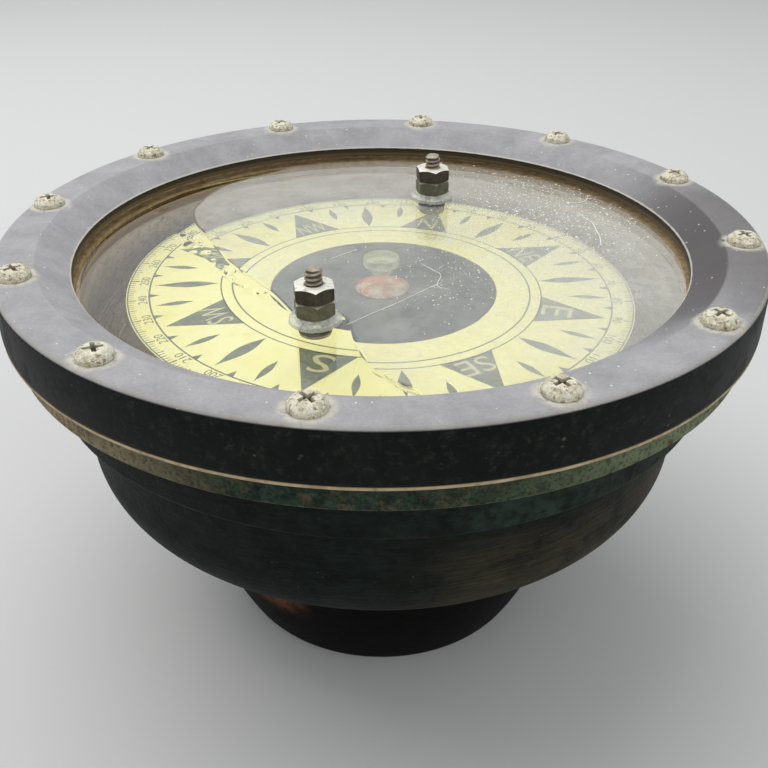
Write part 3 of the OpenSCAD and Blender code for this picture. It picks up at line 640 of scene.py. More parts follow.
    for name, base, stain, top in (("nut", (94, 94, 74), (126, 122, 100), (204, 196, 172)),
                                   ("lock_nut", (84, 78, 62), (66, 56, 46), (232, 228, 216))):
        f = Finish(name + "_brass", base, 0.45, 0.2)
        f.coat(f.patches(2.2, 0.5, 1.0), stain, 0.6)
        f.coat(f.lines(2.5, 1.0), stain, 0.5, share=0.4)
        # upward faces painted much lighter than the sides: a painted highlight of the light overhead
        f.coat((f.sheet.span(f.facing, 0.5, 0.9), f.patches(1.5, 0.85, 1.2, 2)), top, 0.45)
        f.relief(f.patches(0.6, 0.5, 2.0), 0.03)
        m[name] = f.done()

    for name, colour, worn, rough, metal in (
            ("brass", (150, 122, 70), (104, 84, 50), 0.35, 0.8),
            ("steel", (150, 152, 154), (108, 110, 112), 0.3, 0.9),
            ("magnet", (74, 76, 80), (48, 46, 44), 0.45, 0.7),
            ("lead", (92, 95, 99), (66, 68, 72), 0.6, 0.3),
            ("copper_sheet", (168, 110, 78), (120, 82, 62), 0.4, 0.7),
            ("rubber", (26, 25, 24), (44, 42, 38), 0.8, 0.0),
            ("packing", (184, 160, 120), (150, 124, 86), 0.8, 0.0),
            ("lubber_black", (28, 28, 28), (60, 56, 50), 0.5, 0.0)):
        f = Finish(name, colour, rough, metal)
        f.coat(f.patches(3, 0.45, 1.0), worn, min(rough + 0.2, 0.95))
        f.relief(f.lines(4.0, 2.0), 0.01)
        m[name] = f.done()

    f = Finish("card_face", (255, 252, 184), 0.6)
    f.coat(f.patches(22, 0.5, 1.8), (252, 246, 160), 0.6)
    f.coat(f.patches(5, 0.3, 1.2, 3), (244, 236, 156), 0.65, share=0.6)
    f.relief(f.patches(0.9, 0.5, 3.0), 0.01)
    m["card"] = f.done()

    f = Finish("card_ink", (98, 108, 92), 0.6)
    f.coat(f.patches(6, 0.5, 1.5), (122, 130, 104), 0.6)
    f.coat(f.patches(1.2, 0.3, 0.8, 3), (150, 156, 120), 0.6, share=0.6)
    m["ink"] = f.done()

    f = Finish("card_letters", (214, 210, 162), 0.6)
    f.coat(f.patches(3, 0.4, 1.5), (196, 194, 148), 0.6)
    m["letters"] = f.done()

    f = Finish("float_paint", (66, 74, 70), 0.55)
    f.coat(f.patches(9, 0.5, 1.5), (50, 58, 56), 0.6)
    f.coat(f.specks(1.6, 0.2, 0.12), (176, 178, 168), 0.6)
    m["float"] = f.done()

    f = Finish("cap_copper", (186, 176, 150), 0.4, 0.2)
    f.coat(f.patches(4, 0.5, 1.0), (168, 116, 88), 0.45, 0.4)
    f.coat((f.between("Along", 1.0, 2.4), f.patches(3, 0.7, 0.8, 5)), (196, 122, 74), 0.4, 0.4)
    m["cap"] = f.done()

    for name, colour, rough, ior in (("glass", (255, 255, 255), 0.0, 1.5), ("jewel", (196, 214, 232), 0.02, 1.76),
                                     ("liquid", (253, 253, 246), 0.0, 1.36)):
        f = Finish(name + "_clear", colour, rough)
        f.extra = {"IOR": ior, "Transmission Weight": 1.0}
        m[name] = f.done_clear()

    # mist and salt under the glass, only where air lies under it
    f = Finish("glass_mist", (214, 214, 204), 0.9)
    thick = f.sheet.plus(0.08, f.sheet.times(f.patches(16, 0.5, 2.5, 4), 0.13))
    rear = f.sheet.times(f.between("Along", -10, 70), 0.15)
    right = f.sheet.times(f.between("Across", 20, 80), 0.22)
    thick = f.sheet.plus(thick, f.sheet.math("MAXIMUM", rear, right))
    thick = f.sheet.times(thick, f.sheet.span(f.patches(4, 0.55, 2.0, 9), 0.0, 1.0, 0.75, 1.0))
    f.extra = {"Alpha": thick}
    m["mist"] = f.done_clear()

    # milky moulded plastic of the stop
    f = Finish("stop_plastic", (240, 242, 208), 0.25)
    f.coat(f.patches(2.5, 0.4, 1.2), (214, 220, 176), 0.3)
    f.extra = {"Alpha": 0.34}
    m["stop"] = f.done_clear()

    # cloudy moulded plastic of the washers
    f = Finish("washer_plastic", (226, 228, 216), 0.2)
    f.coat(f.patches(1.8, 0.45, 1.2), (188, 190, 176), 0.3)
    f.extra = {"Alpha": f.sheet.span(f.patches(1.6, 0.5, 2.0, 5), 0.0, 1.0, 0.4, 0.75)}
    m["washer"] = f.done_clear()

    f = Finish("dust", (246, 246, 240), 0.9)
    f.coat(f.patches(2, 0.4, 1.0), (222, 220, 208), 0.9)
    m["dust"] = f.done()


# ---------------------------------------------------------------- properties

def length(label, text, millimetres):
    return FloatProperty(name=label, description=text, default=millimetres * MM, unit="LENGTH", subtype="DISTANCE")


class COMPASS_PG_sizes(bpy.types.PropertyGroup):
    """Sizes of the pieces that are made anew."""

    ring_radius: length("Ring Radius", "Outside of the bezel ring", SOLIDS["bezel_ring"][1].x)
    ring_opening: length("Ring Opening", "Radius of the opening over the glass", 89.5)
    ring_land: length("Ring Land", "Radius where the ring's flat top ends", 98.5)
    bowl_radius: length("Bowl Radius", "Outside of the bowl's upright wall", 91.5)
    bore_radius: length("Bore Radius", "Inside of the bowl", 88.0)
    step_radius: length("Step Radius", "Outside of the thick step", 98.7)
    flange_radius: length("Flange Radius", "Edge of the flange", SOLIDS["bowl_body"][1].x)
    screw_circle: length("Screw Circle", "Radius of the circle that the bezel screws stand on", SCREW_CIRCLE)
    screw_first: FloatProperty(name="First Screw", description="Direction of the first bezel screw",
                               subtype="ANGLE", default=math.radians(SCREW_FIRST))
    screw_count: IntProperty(name="Screws", description="Number of bezel screws", default=SCREW_COUNT, min=6)
    stud_circle: length("Stud Circle", "Radius of the circle that the two studs stand on", STUD_CIRCLE)
    stud_pitch: length("Thread Pitch", "Pitch of the studs' thread", 1.3)
    edge_round: length("Edge Rounding", "Rounding of the ring's edges", 0.6)


class COMPASS_PG_stage(bpy.types.PropertyGroup):
    """Camera and light."""

    camera_at: FloatVectorProperty(name="Camera Place", description="Where the camera stands", subtype="TRANSLATION",
                                   unit="LENGTH", default=(0.00082, -0.27387, 0.2367))
    camera_tilt: FloatProperty(name="Camera Tilt", description="Turn of the camera up from looking straight down",
                               subtype="ANGLE", default=math.radians(59.1))
    lens: FloatProperty(name="Lens", description="Focal length on a 36 mm wide sensor", default=45.94)
    key_power: FloatProperty(name="Key Lamp", description="Power of the large lamp overhead", unit="POWER",
                             default=13.5)
    floor_colour: FloatVectorProperty(name="Floor", description="Colour of the floor", subtype="COLOR", size=4,
                                      default=paint(206, 206, 204))


def sizes(context):
    """The sizes by name: lengths in millimetres, the first screw's direction in degrees, and the screws' number."""
    props = context.scene.compass_sizes
    found = {key: getattr(props, key) / MM for key in props.__annotations__}
    return {**found, "screw_first": math.degrees(props.screw_first), "screw_count": props.screw_count}


# ---------------------------------------------------------------- copies by geometry nodes

def circle_copies_tree():
    """Copies of a piece on a circle, each turned outwards, with a loose extra turn."""
    def build(sheet, _, piece, count, seed, circle, height, first, loose, lumps, material):
        line, index = line_of_points(sheet, count)
        angle = sheet.plus(first, sheet.times(index, sheet.math("DIVIDE", 2 * math.pi, count)))
        spot = sheet.vector(sheet.times(sheet.math("COSINE", angle), circle),
                            sheet.times(sheet.math("SINE", angle), circle), height)
        points = sheet.add("GeometryNodeSetPosition", {"Geometry": line, "Position": spot})
        chance = sheet.add("FunctionNodeRandomValue", {"Seed": seed, "ID": index}, data_type="FLOAT").outputs[1]
        turn = sheet.vector(z=sheet.plus(angle, sheet.times(chance, loose)))
        source = sheet.add("GeometryNodeObjectInfo", {"Object": piece, "As Instance": True}).outputs["Geometry"]
        copies = sheet.add("GeometryNodeInstanceOnPoints", {"Points": points, "Instance": source, "Rotation": turn})
        real = sheet.add("GeometryNodeRealizeInstances", {"Geometry": copies})
        position = sheet.add("GeometryNodeInputPosition")
        above = sheet.math("GREATER_THAN", sheet.add("ShaderNodeSeparateXYZ", {0: position}).outputs[2],
                           sheet.plus(height, 0.2 * MM))
        swell = sheet.times(sheet.minus(sheet.noise(position, 700.0, 2.0), 0.5), lumps)
        outwards = sheet.add("GeometryNodeInputNormal")
        push = sheet.add("ShaderNodeVectorMath", {0: outwards, "Scale": sheet.times(swell, above)}, operation="SCALE")
        lumpy = sheet.add("GeometryNodeSetPosition", {"Geometry": real, "Offset": push})
        return finished(sheet, lumpy, material)

    return copies_group("copies_on_circle", [
        ("Piece", "NodeSocketObject", None), ("Count", INTEGER, 12), ("Seed", INTEGER, 1),
        *numbers(Circle=0.1, Height=0.0, First=0.0, Loose_Turn=0.0, Lumps=0.0)], build)


def run_nodes(name, tree, values, material):
    """Runs a geometry node tree on an empty mesh and returns its result as a plain piece."""
    holder = shown(name + "_nodes", bpy.data.meshes.new(name + "_nodes"))
    change = holder.modifiers.new("nodes", "NODES")
    change.node_group = tree
    sockets = {item.name: item.identifier for item in tree.interface.items_tree
               if item.item_type == "SOCKET" and item.in_out == "INPUT"}
    for label, value in {**values, "Material": material}.items():
        change[sockets[label]] = value
    piece = baked(holder, name, material)
    if not piece.data.polygons:
        raise RuntimeError(f"{name}: the node tree made nothing")
    return piece


def on_circle(name, source, material, count, circle=0.0, height=0.0, first=0.0, loose=0.0, seed=1, lumps=0.0):
    """Copies of a piece on a circle, as one plain mesh. The first one is removed."""
    tree = bpy.data.node_groups.get("copies_on_circle") or circle_copies_tree()
    piece = run_nodes(name, tree, {"Piece": source, "Count": count, "Circle": circle * MM, "Height": height * MM,
                                   "First": math.radians(first), "Loose Turn": loose, "Seed": seed,
                                   "Lumps": lumps * MM}, material)
    bpy.data.objects.remove(source)
    return piece


def join(name, pieces):
    """Joins plain meshes with one material into one piece."""
    bm = bmesh.new()
    material = pieces[0].data.materials[0]
    for piece in pieces:
        bm.from_mesh(piece.data)
    for piece in pieces:
        bpy.data.objects.remove(piece)
    mesh = bpy.data.meshes.new(name)
    bm.to_mesh(mesh)
    bm.free()
    return shown(name, mesh, material)


# ---------------------------------------------------------------- operators

class Maker:
    """What every operator here shares."""

    bl_options = {"REGISTER", "UNDO"}

    def execute(self, context):
        if not MATERIALS:
            make_materials()
        self.make(sizes(context))
        return {"FINISHED"}


class COMPASS_OT_bowl(Maker, bpy.types.Operator):
    """Cast bowl with its flange, thick step, curve and filler boss"""

    bl_idname = "compass.bowl"
    bl_label = "Bowl"

    def make(self, s):
        low, high = low_z("bowl_body"), high_z("bowl_body")
        curve, port, step_low, flange_low = 22.0, 26, 89.5, 104.5
        floor, wall = low + 5.0, s["bowl_radius"] - s["bore_radius"]
        middle = s["bowl_radius"] - curve
        outer = arc(curve, -math.pi / 2, 0, 28, (middle, low + curve))
        inner = arc(curve - wall, 0, -math.pi / 2, 28, (middle, floor + curve - wall))
        corners = [(port, low, 0.4), *((*point, 0) for point in outer),
                   (s["bowl_radius"], step_low, 1.2), (s["step_radius"], step_low, 1.3),
                   (s["step_radius"], flange_low, 0.8), (s["flange_radius"], flange_low, 0.9),
                   (s["flange_radius"], high, 0.5), (s["bore_radius"], high, 0.4),
                   *((*point, 0) for point in inner), (port, floor, 0.4)]
        bowl = turned_piece("bowl_body_cast", rounded(corners), 256)
        outwards = around(0, FILLER_TURN, FILLER_HEIGHT) @ Matrix.Rotation(math.radians(90), 4, "Y")
        bowl = cut(bowl, rods("boss", (5.3, 89.0, 94.5, outwards, 48)), "UNION")
        # holes for the screws of the bezel, foot, diaphragm and bridge, and for filling
        bowl = cut(bowl, rods("holes", *screw_holes(s, 2.45, 105.5, 112.0),
                              *circle_holes(2.55, 48.0, 52.5, 43, 45, 4, 16),
                              *circle_holes(1.55, 48.0, 52.5, 31.5, 22.5, 8, 12),
                              *circle_holes(2.05, 49.5, 54.0, 38, 0, 2, 16), (3.05, 84.5, 97.0, outwards, 24)))
        bowl.data.materials.append(MATERIALS["casting"])
        bowl.data.materials.append(MATERIALS["inside"])
        for face in bowl.data.polygons:
            at = face.center / MM
            out = Vector((at.x, at.y, 0)).normalized()
            held = low + 0.5 < at.z < high - 0.2 and at.xy.length < s["bore_radius"] + 0.1
            if held and face.normal.z - face.normal.dot(out) > 0.2:
                face.material_index = 1
        place_piece(bowl, "bowl", "bowl_casting", "bowl_body")


class COMPASS_OT_ring(Maker, bpy.types.Operator):
    """Bezel ring and the gasket under it"""

    bl_idname = "compass.ring"
    bl_label = "Ring and Gasket"

    def make(self, s):
        low, high = low_z("bezel_ring"), high_z("bezel_ring")
        rebate, rebate_top, lip_top = 97.5, 120.2, 123.2
        corners = [(rebate, low, 0.2), (s["ring_radius"], low, 2.0), (s["ring_radius"], high, 1.6),
                   (s["ring_land"], high, 1.2), (s["ring_opening"], lip_top, s["edge_round"]),
                   (s["ring_opening"], rebate_top, 0.3), (rebate, rebate_top, 0.1)]
        ring = turned_piece("bezel_ring_turned", rounded(corners, 5), 256)
        ring = cut(ring, rods("ring_holes", *screw_holes(s, 2.6, low - 1, high + 1)))
        ring.data.materials.append(MATERIALS["enamel"])
        place_piece(ring, "bowl", "bezel_enamel", "bezel_ring")

        draw = random.Random(11)
        waves = [(draw.uniform(0.005, 0.012), draw.randint(5, 60), draw.uniform(0, 6.3)) for _ in range(9)]

        def squeezed(r, z, a):
            if r < 100:
                return r, z
            return r + sum(size * math.sin(n * a + shift) for size, n, shift in waves), z

        low, high = low_z("flange_seal"), high_z("flange_seal")
        inner, flat_end, bulge, bulge_middle = 88.5, 107.6, 0.72, (109.12, 112.8)
        outline = [(inner, low), (inner, high), *arc(bulge, 2.4, -2.2, 16, bulge_middle), (flat_end, low)]
        gasket = turned_piece("flange_seal_squeezed", outline, 360, radius_at=squeezed)
        gasket = cut(gasket, rods("gasket_holes", *screw_holes(s, 2.6, low - 1, high + 1)))
        gasket.data.materials.append(MATERIALS["gasket"])
        place_piece(gasket, "bowl", "flange_gasket", "flange_seal")


class COMPASS_OT_screws(Maker, bpy.types.Operator):
    """Twelve pan-head screws with a cross recess"""

    bl_idname = "compass.screws"
    bl_label = "Bezel Screws"

    def make(self, s):
        top = high_z("bezel_ring")
        outline = rounded([(0, -22.5, 0), (2.0, -22.5, 0), (2.4, -21.9, 0), (2.4, 0, 0), (4.5, 0, 0.25),
                           (4.5, 1.3, 0.8), (3.2, 2.65, 1.2), (0, 2.8, 0)], 6)
        head = turned_piece("pan_screw", outline, 48, smooth_angle=45, closed=False)
        long, wide, deep, middle = 5.2 * MM, 1.2 * MM, 2.4 * MM, 2.3 * MM
        for turn in (0, 90):
            bm = bmesh.new()
            bmesh.ops.create_cube(bm, size=1.0, matrix=Matrix.Translation((0, 0, middle))
                                  @ Matrix.Diagonal((long, wide, deep, 1)))
            for v in bm.verts:
                if v.co.z < middle:
                    v.co.x *= 0.72
                    v.co.y *= 0.8
            bmesh.ops.rotate(bm, verts=bm.verts, matrix=Matrix.Rotation(math.radians(turn), 3, "Z"))
            head = cut(head, mesh_of("cross", bm))
        # marks the cross recess, where the screws' finish paints shade
        mark(head, "recess", lambda at: 1.0 if at.xy.length < 2.7 and 0.4 < at.z < 2.6 else 0.0)
        screws = on_circle("bezel_screws_pan", head, MATERIALS["screw"], s["screw_count"], s["screw_circle"], top,
                           s["screw_first"], loose=math.pi, seed=5, lumps=0.55)
        place_piece(screws, "bowl", "screw_metal", "bezel_screws")


def thread_radius(z, a, pitch, core, crest):
    """Radius of a thread's flank at a height and angle."""
    share = (z / pitch - a / (2 * math.pi)) % 1.0
    return core + (crest - core) * max(0.0, min(1.0, 2.4 * (1 - abs(2 * share - 1)) - 0.7))


class COMPASS_OT_studs(Maker, bpy.types.Operator):
    """Threaded studs with their nuts and clear washers"""

    bl_idname = "compass.studs"
    bl_label = "Terminal Studs"

    def make(self, s):
        low, high = low_z("terminal_studs"), high_z("terminal_studs")
        nuts_top = high_z("terminal_lock_nuts")
        start, end, crest, crest_in_nut, depth, rows_a_turn = 119.6, high - 0.5, 2.4, 2.19, 0.62, 10

        def pair(name, piece, material, height=0.0):
            return on_circle(name, piece, MATERIALS[material], 2, s["stud_circle"], height, STUD_FIRST)

        def threaded(r, z, a):
            if z < start - 1e-6 or r < 1.6:
                return r, z
            top = crest_in_nut if z < nuts_top - 0.05 else crest
            return min(thread_radius(z, a, s["stud_pitch"], top - depth, top), r), z

        rows = int((end - start) / s["stud_pitch"] * rows_a_turn)
        outline = [(0, low), (3.9, low), (4.3, low + 0.4), (4.3, 113.3), (2.15, 113.4), (2.15, start - 0.05)]
        outline += [(crest, start + (end - start) * k / rows) for k in range(rows + 1)]
        outline += [(1.9, high - 0.05), (1.55, high), (0, high)]
        stud = turned_piece("stud", outline, 48, smooth_angle=50, closed=False, radius_at=threaded)

        # depth into the thread's grooves, where the stud's finish paints shade
        def groove(at):
            return max(0.0, min(1.0, (2.25 - at.xy.length) / 0.35)) if start < at.z < high - 0.3 else 0.0

        mark(stud, "groove", groove)
        place_piece(pair("terminal_studs_threaded", stud, "stud"), "bowl", "stud_metal", "terminal_studs")

        def hexed(corner_r, flats):
            def shape(r, z, a):
                if r < corner_r:
                    return r, z
                limit = flats / 2 / math.cos((a % (math.pi / 3)) - math.pi / 6)
                tilt = (limit - flats / 2) * 0.58
                return limit, z + (tilt if z < 0.5 else -tilt)
            return shape

        for node, material, turn in (("terminal_nuts", "nut", 32), ("terminal_lock_nuts", "lock_nut", 29)):
            bm = bmesh.new()
            bore, tall = 2.25, high_z(node) - low_z(node)
            turned(bm, [(bore, 0.35), (2.6, 0.0), (4.75, 0.0), (5.05, 0.06), (5.05, tall - 0.06), (4.75, tall),
                        (2.6, tall), (bore, tall - 0.35)], 96, radius_at=hexed(5.0, 10.0))
            bmesh.ops.rotate(bm, verts=bm.verts, matrix=Matrix.Rotation(math.radians(turn), 3, "Z"))
            nuts = pair(node + "_hex", mesh_of("nut", bm, smooth_angle=28), material, low_z(node))
            place_piece(nuts, "bowl", material + "_brass", node)

        draw = random.Random(4)
        lumps = [(draw.uniform(0.04, 0.1), draw.randint(3, 17), draw.uniform(0, 6.3)) for _ in range(8)]

        def moulded(r, z, a):
            swell = sum(size * math.sin(n * a + shift) for size, n, shift in lumps)
            return (r, z) if r < 4 else (r + swell - 0.25, z - 0.5 * abs(swell) if z > 1 else z)

        bore, tall = 2.65, high_z("terminal_washers") - low_z("terminal_washers") - 0.03
        outline = rounded([(bore, 0, 0.15), (7.2, 0, 0.3), (7.2, tall * 0.6, 0.5), (5.9, tall * 0.62, 0.3),
                           (5.6, tall, 0.4), (bore, tall, 0.2)])
        washers = pair("terminal_washers_clear", turned_piece("washer", outline, 96, radius_at=moulded), "washer",
                       low_z("terminal_washers") + 0.01)
        place_piece(washers, "bowl", "clear_plastic", "terminal_washers")


class COMPASS_OT_stop(Maker, bpy.types.Operator):
    """Clear moulded stop under the middle of the glass"""

    bl_idname = "compass.stop"
    bl_label = "Centre Stop"

    def make(self, s):
        low, high = low_z("centre_stop"), high_z("centre_stop") - 0.02
        shelf = high - 2.6
        outline = rounded([(0, low + 1.4, 0), (1.6, low + 1.3, 0.3), (2.3, low, 0.3), (3.45, low, 0.3),
                           (3.45, shelf, 0.2), (5.6, shelf, 0.3), (5.6, high, 0.4), (0, high, 0)])
        stop = turned_piece("centre_stop_moulded", outline, 64, MATERIALS["stop"], closed=False)
        place_piece(stop, "bowl", "clear_plastic", "centre_stop")


class COMPASS_OT_foot(Maker, bpy.types.Operator):
    """Cast foot with rounded edges"""

    bl_idname = "compass.foot"
    bl_label = "Foot"

    def make(self, s):
        foot = smooth_copy("foot_cover", "foot_cover_cast", 0.35, MATERIALS["foot"])
        place_piece(foot, "bowl", "foot_casting", "foot_cover")


class COMPASS_OT_solids(Maker, bpy.types.Operator):
    """Finishes of the pieces whose solids are shown as they are"""

    bl_idname = "compass.solids"
    bl_label = "Inner Pieces"

    FINISHES = {
        "glass": ("cover_glass",),
        "jewel": ("pivot_jewel",),
        "packing": ("glass_lower_seal", "glass_upper_seal"),
        "rubber": ("terminal_inner_washers", "diaphragm_seal", "filler_washer"),
        "brass": ("foot_screws", "diaphragm_screws", "diaphragm_clamp_ring", "pivot_bridge", "bridge_screws",
                  "pivot_post", "pivot_lock_nut", "lubber_bracket", "filler_plug", "jewel_setting", "magnet_bars"),
        "copper_sheet": ("expansion_diaphragm", "float_bottom"),
        "lead": ("ballast_weight",),
        "steel": ("pivot_pin",),
        "lubber_black": ("lubber_pin",),
        "card": ("compass_card", "card_rivets"),
        "float": ("float_top",),
        "magnet": ("magnets",),
        "cap": ("float_cap",),
    }

    def make(self, s):
        for material, nodes in self.FINISHES.items():
            for node in nodes:
                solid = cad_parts[node]
                if not solid.material_slots:
                    raise RuntimeError(f"{node} has no material slot")
                for slot in solid.material_slots:
                    slot.material = MATERIALS[material]


def inside(points, polygon):
    """Whether each point lies in a polygon."""
    x, y = points[:, 0], points[:, 1]
    found = np.zeros(len(points), bool)
    for (x0, y0), (x1, y1) in zip(polygon, polygon[1:] + polygon[:1]):
        crosses = (y0 > y) != (y1 > y)
        with np.errstate(divide="ignore", invalid="ignore"):
            found ^= crosses & (x < (x1 - x0) * (y - y0) / (y1 - y0) + x0)
    return found


def distance_to(points, line):
    """Distance of each point from an open line."""
    nearest = np.full(len(points), 1e9)
    for a, b in zip(line, line[1:]):
        a, b = np.array(a), np.array(b)
        along = b - a
        share = np.clip(((points - a) @ along) / (along @ along), 0, 1)
        nearest = np.minimum(nearest, np.linalg.norm(points - a - share[:, None] * along, axis=1))
    return nearest


# edge of the bubble against the glass, from the far rim to the near rim
SHORE_CORNERS = [(-31, 90), (-37, 80), (-46, 72.5), (-54.4, 64.5), (-59.4, 55), (-62.2, 45.5), (-63.0, 36.5),
                 (-60.2, 25.9), (-56.4, 18.3), (-49.6, 4.2), (-44.0, -6.0), (-39.0, -12.0), (-34.0, -19.5),
                 (-29.5, -26.5), (-24.0, -36.9), (-18.0, -47.2), (-13.0, -42.7), (-11.0, -38.1), (-8.4, -44.4),
                 (-7.1, -52.1), (-4.7, -59.9), (-2.1, -66.4), (3.0, -72.3), (8.8, -78.0), (12, -90)]
# middle and radius of the small bubbles beside it
BUBBLES = [(-58.4, 9.4, 3.0), (-53.4, 2.6, 1.7), (-50.6, -2.8, 1.5), (-47.6, -7.6, 1.8), (-45.2, -12.6, 1.3),
           (-42.2, -16.4, 1.6), (-38.6, -20.8, 1.2), (-62.4, 16.4, 1.2), (-57.2, 3.2, 1.1), (-35.4, -25.4, 1.1)]


def smooth_line(corners, step):
    """Points about one step apart on a smooth curve through the corners."""
    spots = [Vector(c) for c in corners]
    spots = [2 * spots[0] - spots[1], *spots, 2 * spots[-1] - spots[-2]]
    line = []
    for before, here, ahead, after in zip(spots, spots[1:], spots[2:], spots[3:]):
        count = max(2, round((ahead - here).length / step))
        for k in range(count):
            t = k / count
            line.append(0.5 * (2 * here + (ahead - before) * t + (2 * before - 5 * here + 4 * ahead - after) * t * t
                               + (3 * here - before - 3 * ahead + after) * t ** 3))
    return [tuple(p) for p in line] + [tuple(spots[-2])]


def beside(line, offset):
    """Points beside a line, on the side of the bubble."""
    found = []
    for before, here, after in zip(line, line[1:], line[2:]):
        along = (Vector(after) - Vector(before)).normalized()
        found.append((here[0] - along.y * offset, here[1] + along.x * offset))
    return found


class COMPASS_OT_liquid(Maker, bpy.types.Operator):
    """Damping liquid, which has shrunk and left a wide bubble under the glass"""

    bl_idname = "compass.liquid"
    bl_label = "Liquid"

    def make(self, s):
        radius = s["bore_radius"] + 0.03
        top = low_z("cover_glass") - 0.03
        surface, bank, port, port_low = 107.7, 2.4, 26.03, 47.9
        shore = smooth_line(SHORE_CORNERS, 0.7)
        left_side = shore + [(-120, -120), (-120, 120)]
        rows = [point for offset in (0.0, 0.06, 0.2, 0.42, 0.75, 1.15, 1.7, bank) for point in beside(shore, offset)
                if offset == 0 or distance_to(np.array([point]), shore)[0] > offset * 0.93]
        fine, coarse = 0.4, 2.8
        steps = np.arange(-radius, radius, fine)
        grid = np.array([(x, y) for x in steps for y in steps])
        near = np.zeros(len(grid), bool)
        for x, y, r in BUBBLES:
            near |= np.linalg.norm(grid - (x, y), axis=1) < r + 0.6
        on_coarse = np.all(np.round((grid + radius) / fine) % (coarse / fine) == 0, axis=1)
        grid = grid[near | on_coarse]
        wet = inside(grid, left_side)
        away = distance_to(grid, shore)
        grid = grid[np.where(wet, away > 0.5, away > bank + 0.5)]
        points = np.vstack([np.array(rows), grid])
        points = points[np.linalg.norm(points, axis=1) < radius - 0.3]
        count = 256
        points = np.vstack([arc(radius, 0, 2 * math.pi, count)[:-1], points])
        edges = [(k, (k + 1) % count) for k in range(count)]
        verts, _, faces, _, _, _ = delaunay_2d_cdt([Vector(p) for p in points], edges, [], 1, 1e-6)
        flat = np.array([tuple(v) for v in verts])
        away = distance_to(flat, shore)
        wet = inside(flat, left_side) | (away < 1e-3)
        fall = np.sqrt(1 - (1 - np.clip(away / bank, 0, 1)) ** 2)
        height = np.where(wet, top, top + (surface - top) * fall)
        for x, y, r in BUBBLES:
            reach = np.linalg.norm(flat - (x, y), axis=1)
            dip = np.sqrt(np.clip(1 - (reach / r) ** 2, 0, 1)) * r * 0.5
            height = np.where(wet, height - dip, height)
        bm = bmesh.new()
        made = [bm.verts.new((x * MM, y * MM, z * MM)) for (x, y), z in zip(flat, height)]
        for face in faces:
            bm.faces.new([made[i] for i in face])
        ring = made[:count]
        curve, floor = 18.53, 53.47
        down = [(radius, z) for z in (100.0, 90.0)]
        down += arc(curve, 0, -math.pi / 2, 12, (radius - curve, floor + curve))
        down += [(port, floor), (port, port_low)]
        for r, z in down:
            lower = [bm.verts.new((x * MM, y * MM, z * MM)) for x, y in arc(r, 0, 2 * math.pi, count)[:-1]]
            for k in range(count):
                j = (k + 1) % count
                bm.faces.new((ring[k], lower[k], lower[j], ring[j]))
            ring = lower
        middle = bm.verts.new((0, 0, port_low * MM))
        for k in range(count):
            bm.faces.new((ring[k], middle, ring[(k + 1) % count]))
        liquid = mesh_of("damping_liquid", bm, MATERIALS["liquid"], smooth_angle=60)
        place_piece(liquid, "bowl", "cover_glass")


class COMPASS_OT_mist(Maker, bpy.types.Operator):
    """Mist on the underside of the glass, over the bubble"""

    bl_idname = "compass.mist"
    bl_label = "Mist"

    def make(self, s):
        reach = s["ring_opening"] - 0.4
        high = low_z("cover_glass") - 0.01
        edge = [p for p in beside(smooth_line(SHORE_CORNERS, 0.7), 0.7) if math.hypot(*p) < reach]
        start, end = math.atan2(edge[-1][1], edge[-1][0]), math.atan2(edge[0][1], edge[0][0])
        film = prism(edge + arc(reach, start, end, 90), high - 0.02, high, "glass_mist_film")
        film = cut(film, rods("film_holes", (5.65, high - 1, high + 1),
                              *circle_holes(5.0, high - 1, high + 1, s["stud_circle"], STUD_FIRST, 2, 32)))
        film.data.materials.clear()
        film.data.materials.append(MATERIALS["mist"])
        place_piece(film, "bowl", "cover_glass")


def fleck_tree():
    """Flecks thrown over a round patch, thickest in its middle, and kept inside the glass."""

    def build(sheet, _, count, seed, middle_x, middle_y, spread_x, spread_y, height, reach, largest, material):
        line, index = line_of_points(sheet, count)

        def chance(shift, low=0.0, high=1.0):
            node = sheet.add("FunctionNodeRandomValue", {"ID": index, "Seed": sheet.plus(seed, shift), 2: low, 3: high},
                             data_type="FLOAT")
            return node.outputs[1]

        def throw(shift, middle, spread):
            return sheet.plus(middle, sheet.times(sheet.plus(*(chance(shift + k, -1.0) for k in range(3))), spread))

        spot = sheet.vector(throw(10, middle_x, spread_x), throw(20, middle_y, spread_y), height)
        points = sheet.add("GeometryNodeSetPosition", {"Geometry": line, "Position": spot})
        place = sheet.add("GeometryNodeInputPosition")
        flat = sheet.add("ShaderNodeVectorMath", {0: place, 1: (1, 1, 0)}, operation="MULTIPLY")
        away = sheet.add("ShaderNodeVectorMath", {0: flat}, operation="LENGTH").outputs["Value"]
        outside = sheet.math("GREATER_THAN", away, reach)
        kept = sheet.add("GeometryNodeDeleteGeometry", {"Geometry": points, "Selection": outside})
        size = sheet.times(sheet.plus(sheet.math("POWER", chance(30), 3.0), 0.25), largest)
        scale = sheet.vector(size, sheet.times(size, chance(40, 0.5, 1.0)), sheet.times(size, 0.4))
        ball = sheet.add("GeometryNodeMeshIcoSphere", {"Radius": 1.0, "Subdivisions": 1})
        copies = sheet.add("GeometryNodeInstanceOnPoints", {
            "Points": kept, "Instance": ball, "Scale": scale, "Rotation": sheet.vector(z=chance(50, 0.0, 6.28))})
        return finished(sheet, sheet.add("GeometryNodeRealizeInstances", {"Geometry": copies}), material)

    return copies_group("flecks", [
        ("Count", INTEGER, 100), *numbers(Seed=1.0, Middle_X=0.0, Middle_Y=0.0, Spread_X=0.03, Spread_Y=0.03,
                                          Height=0.0, Reach=0.088, Largest=0.0002)], build)


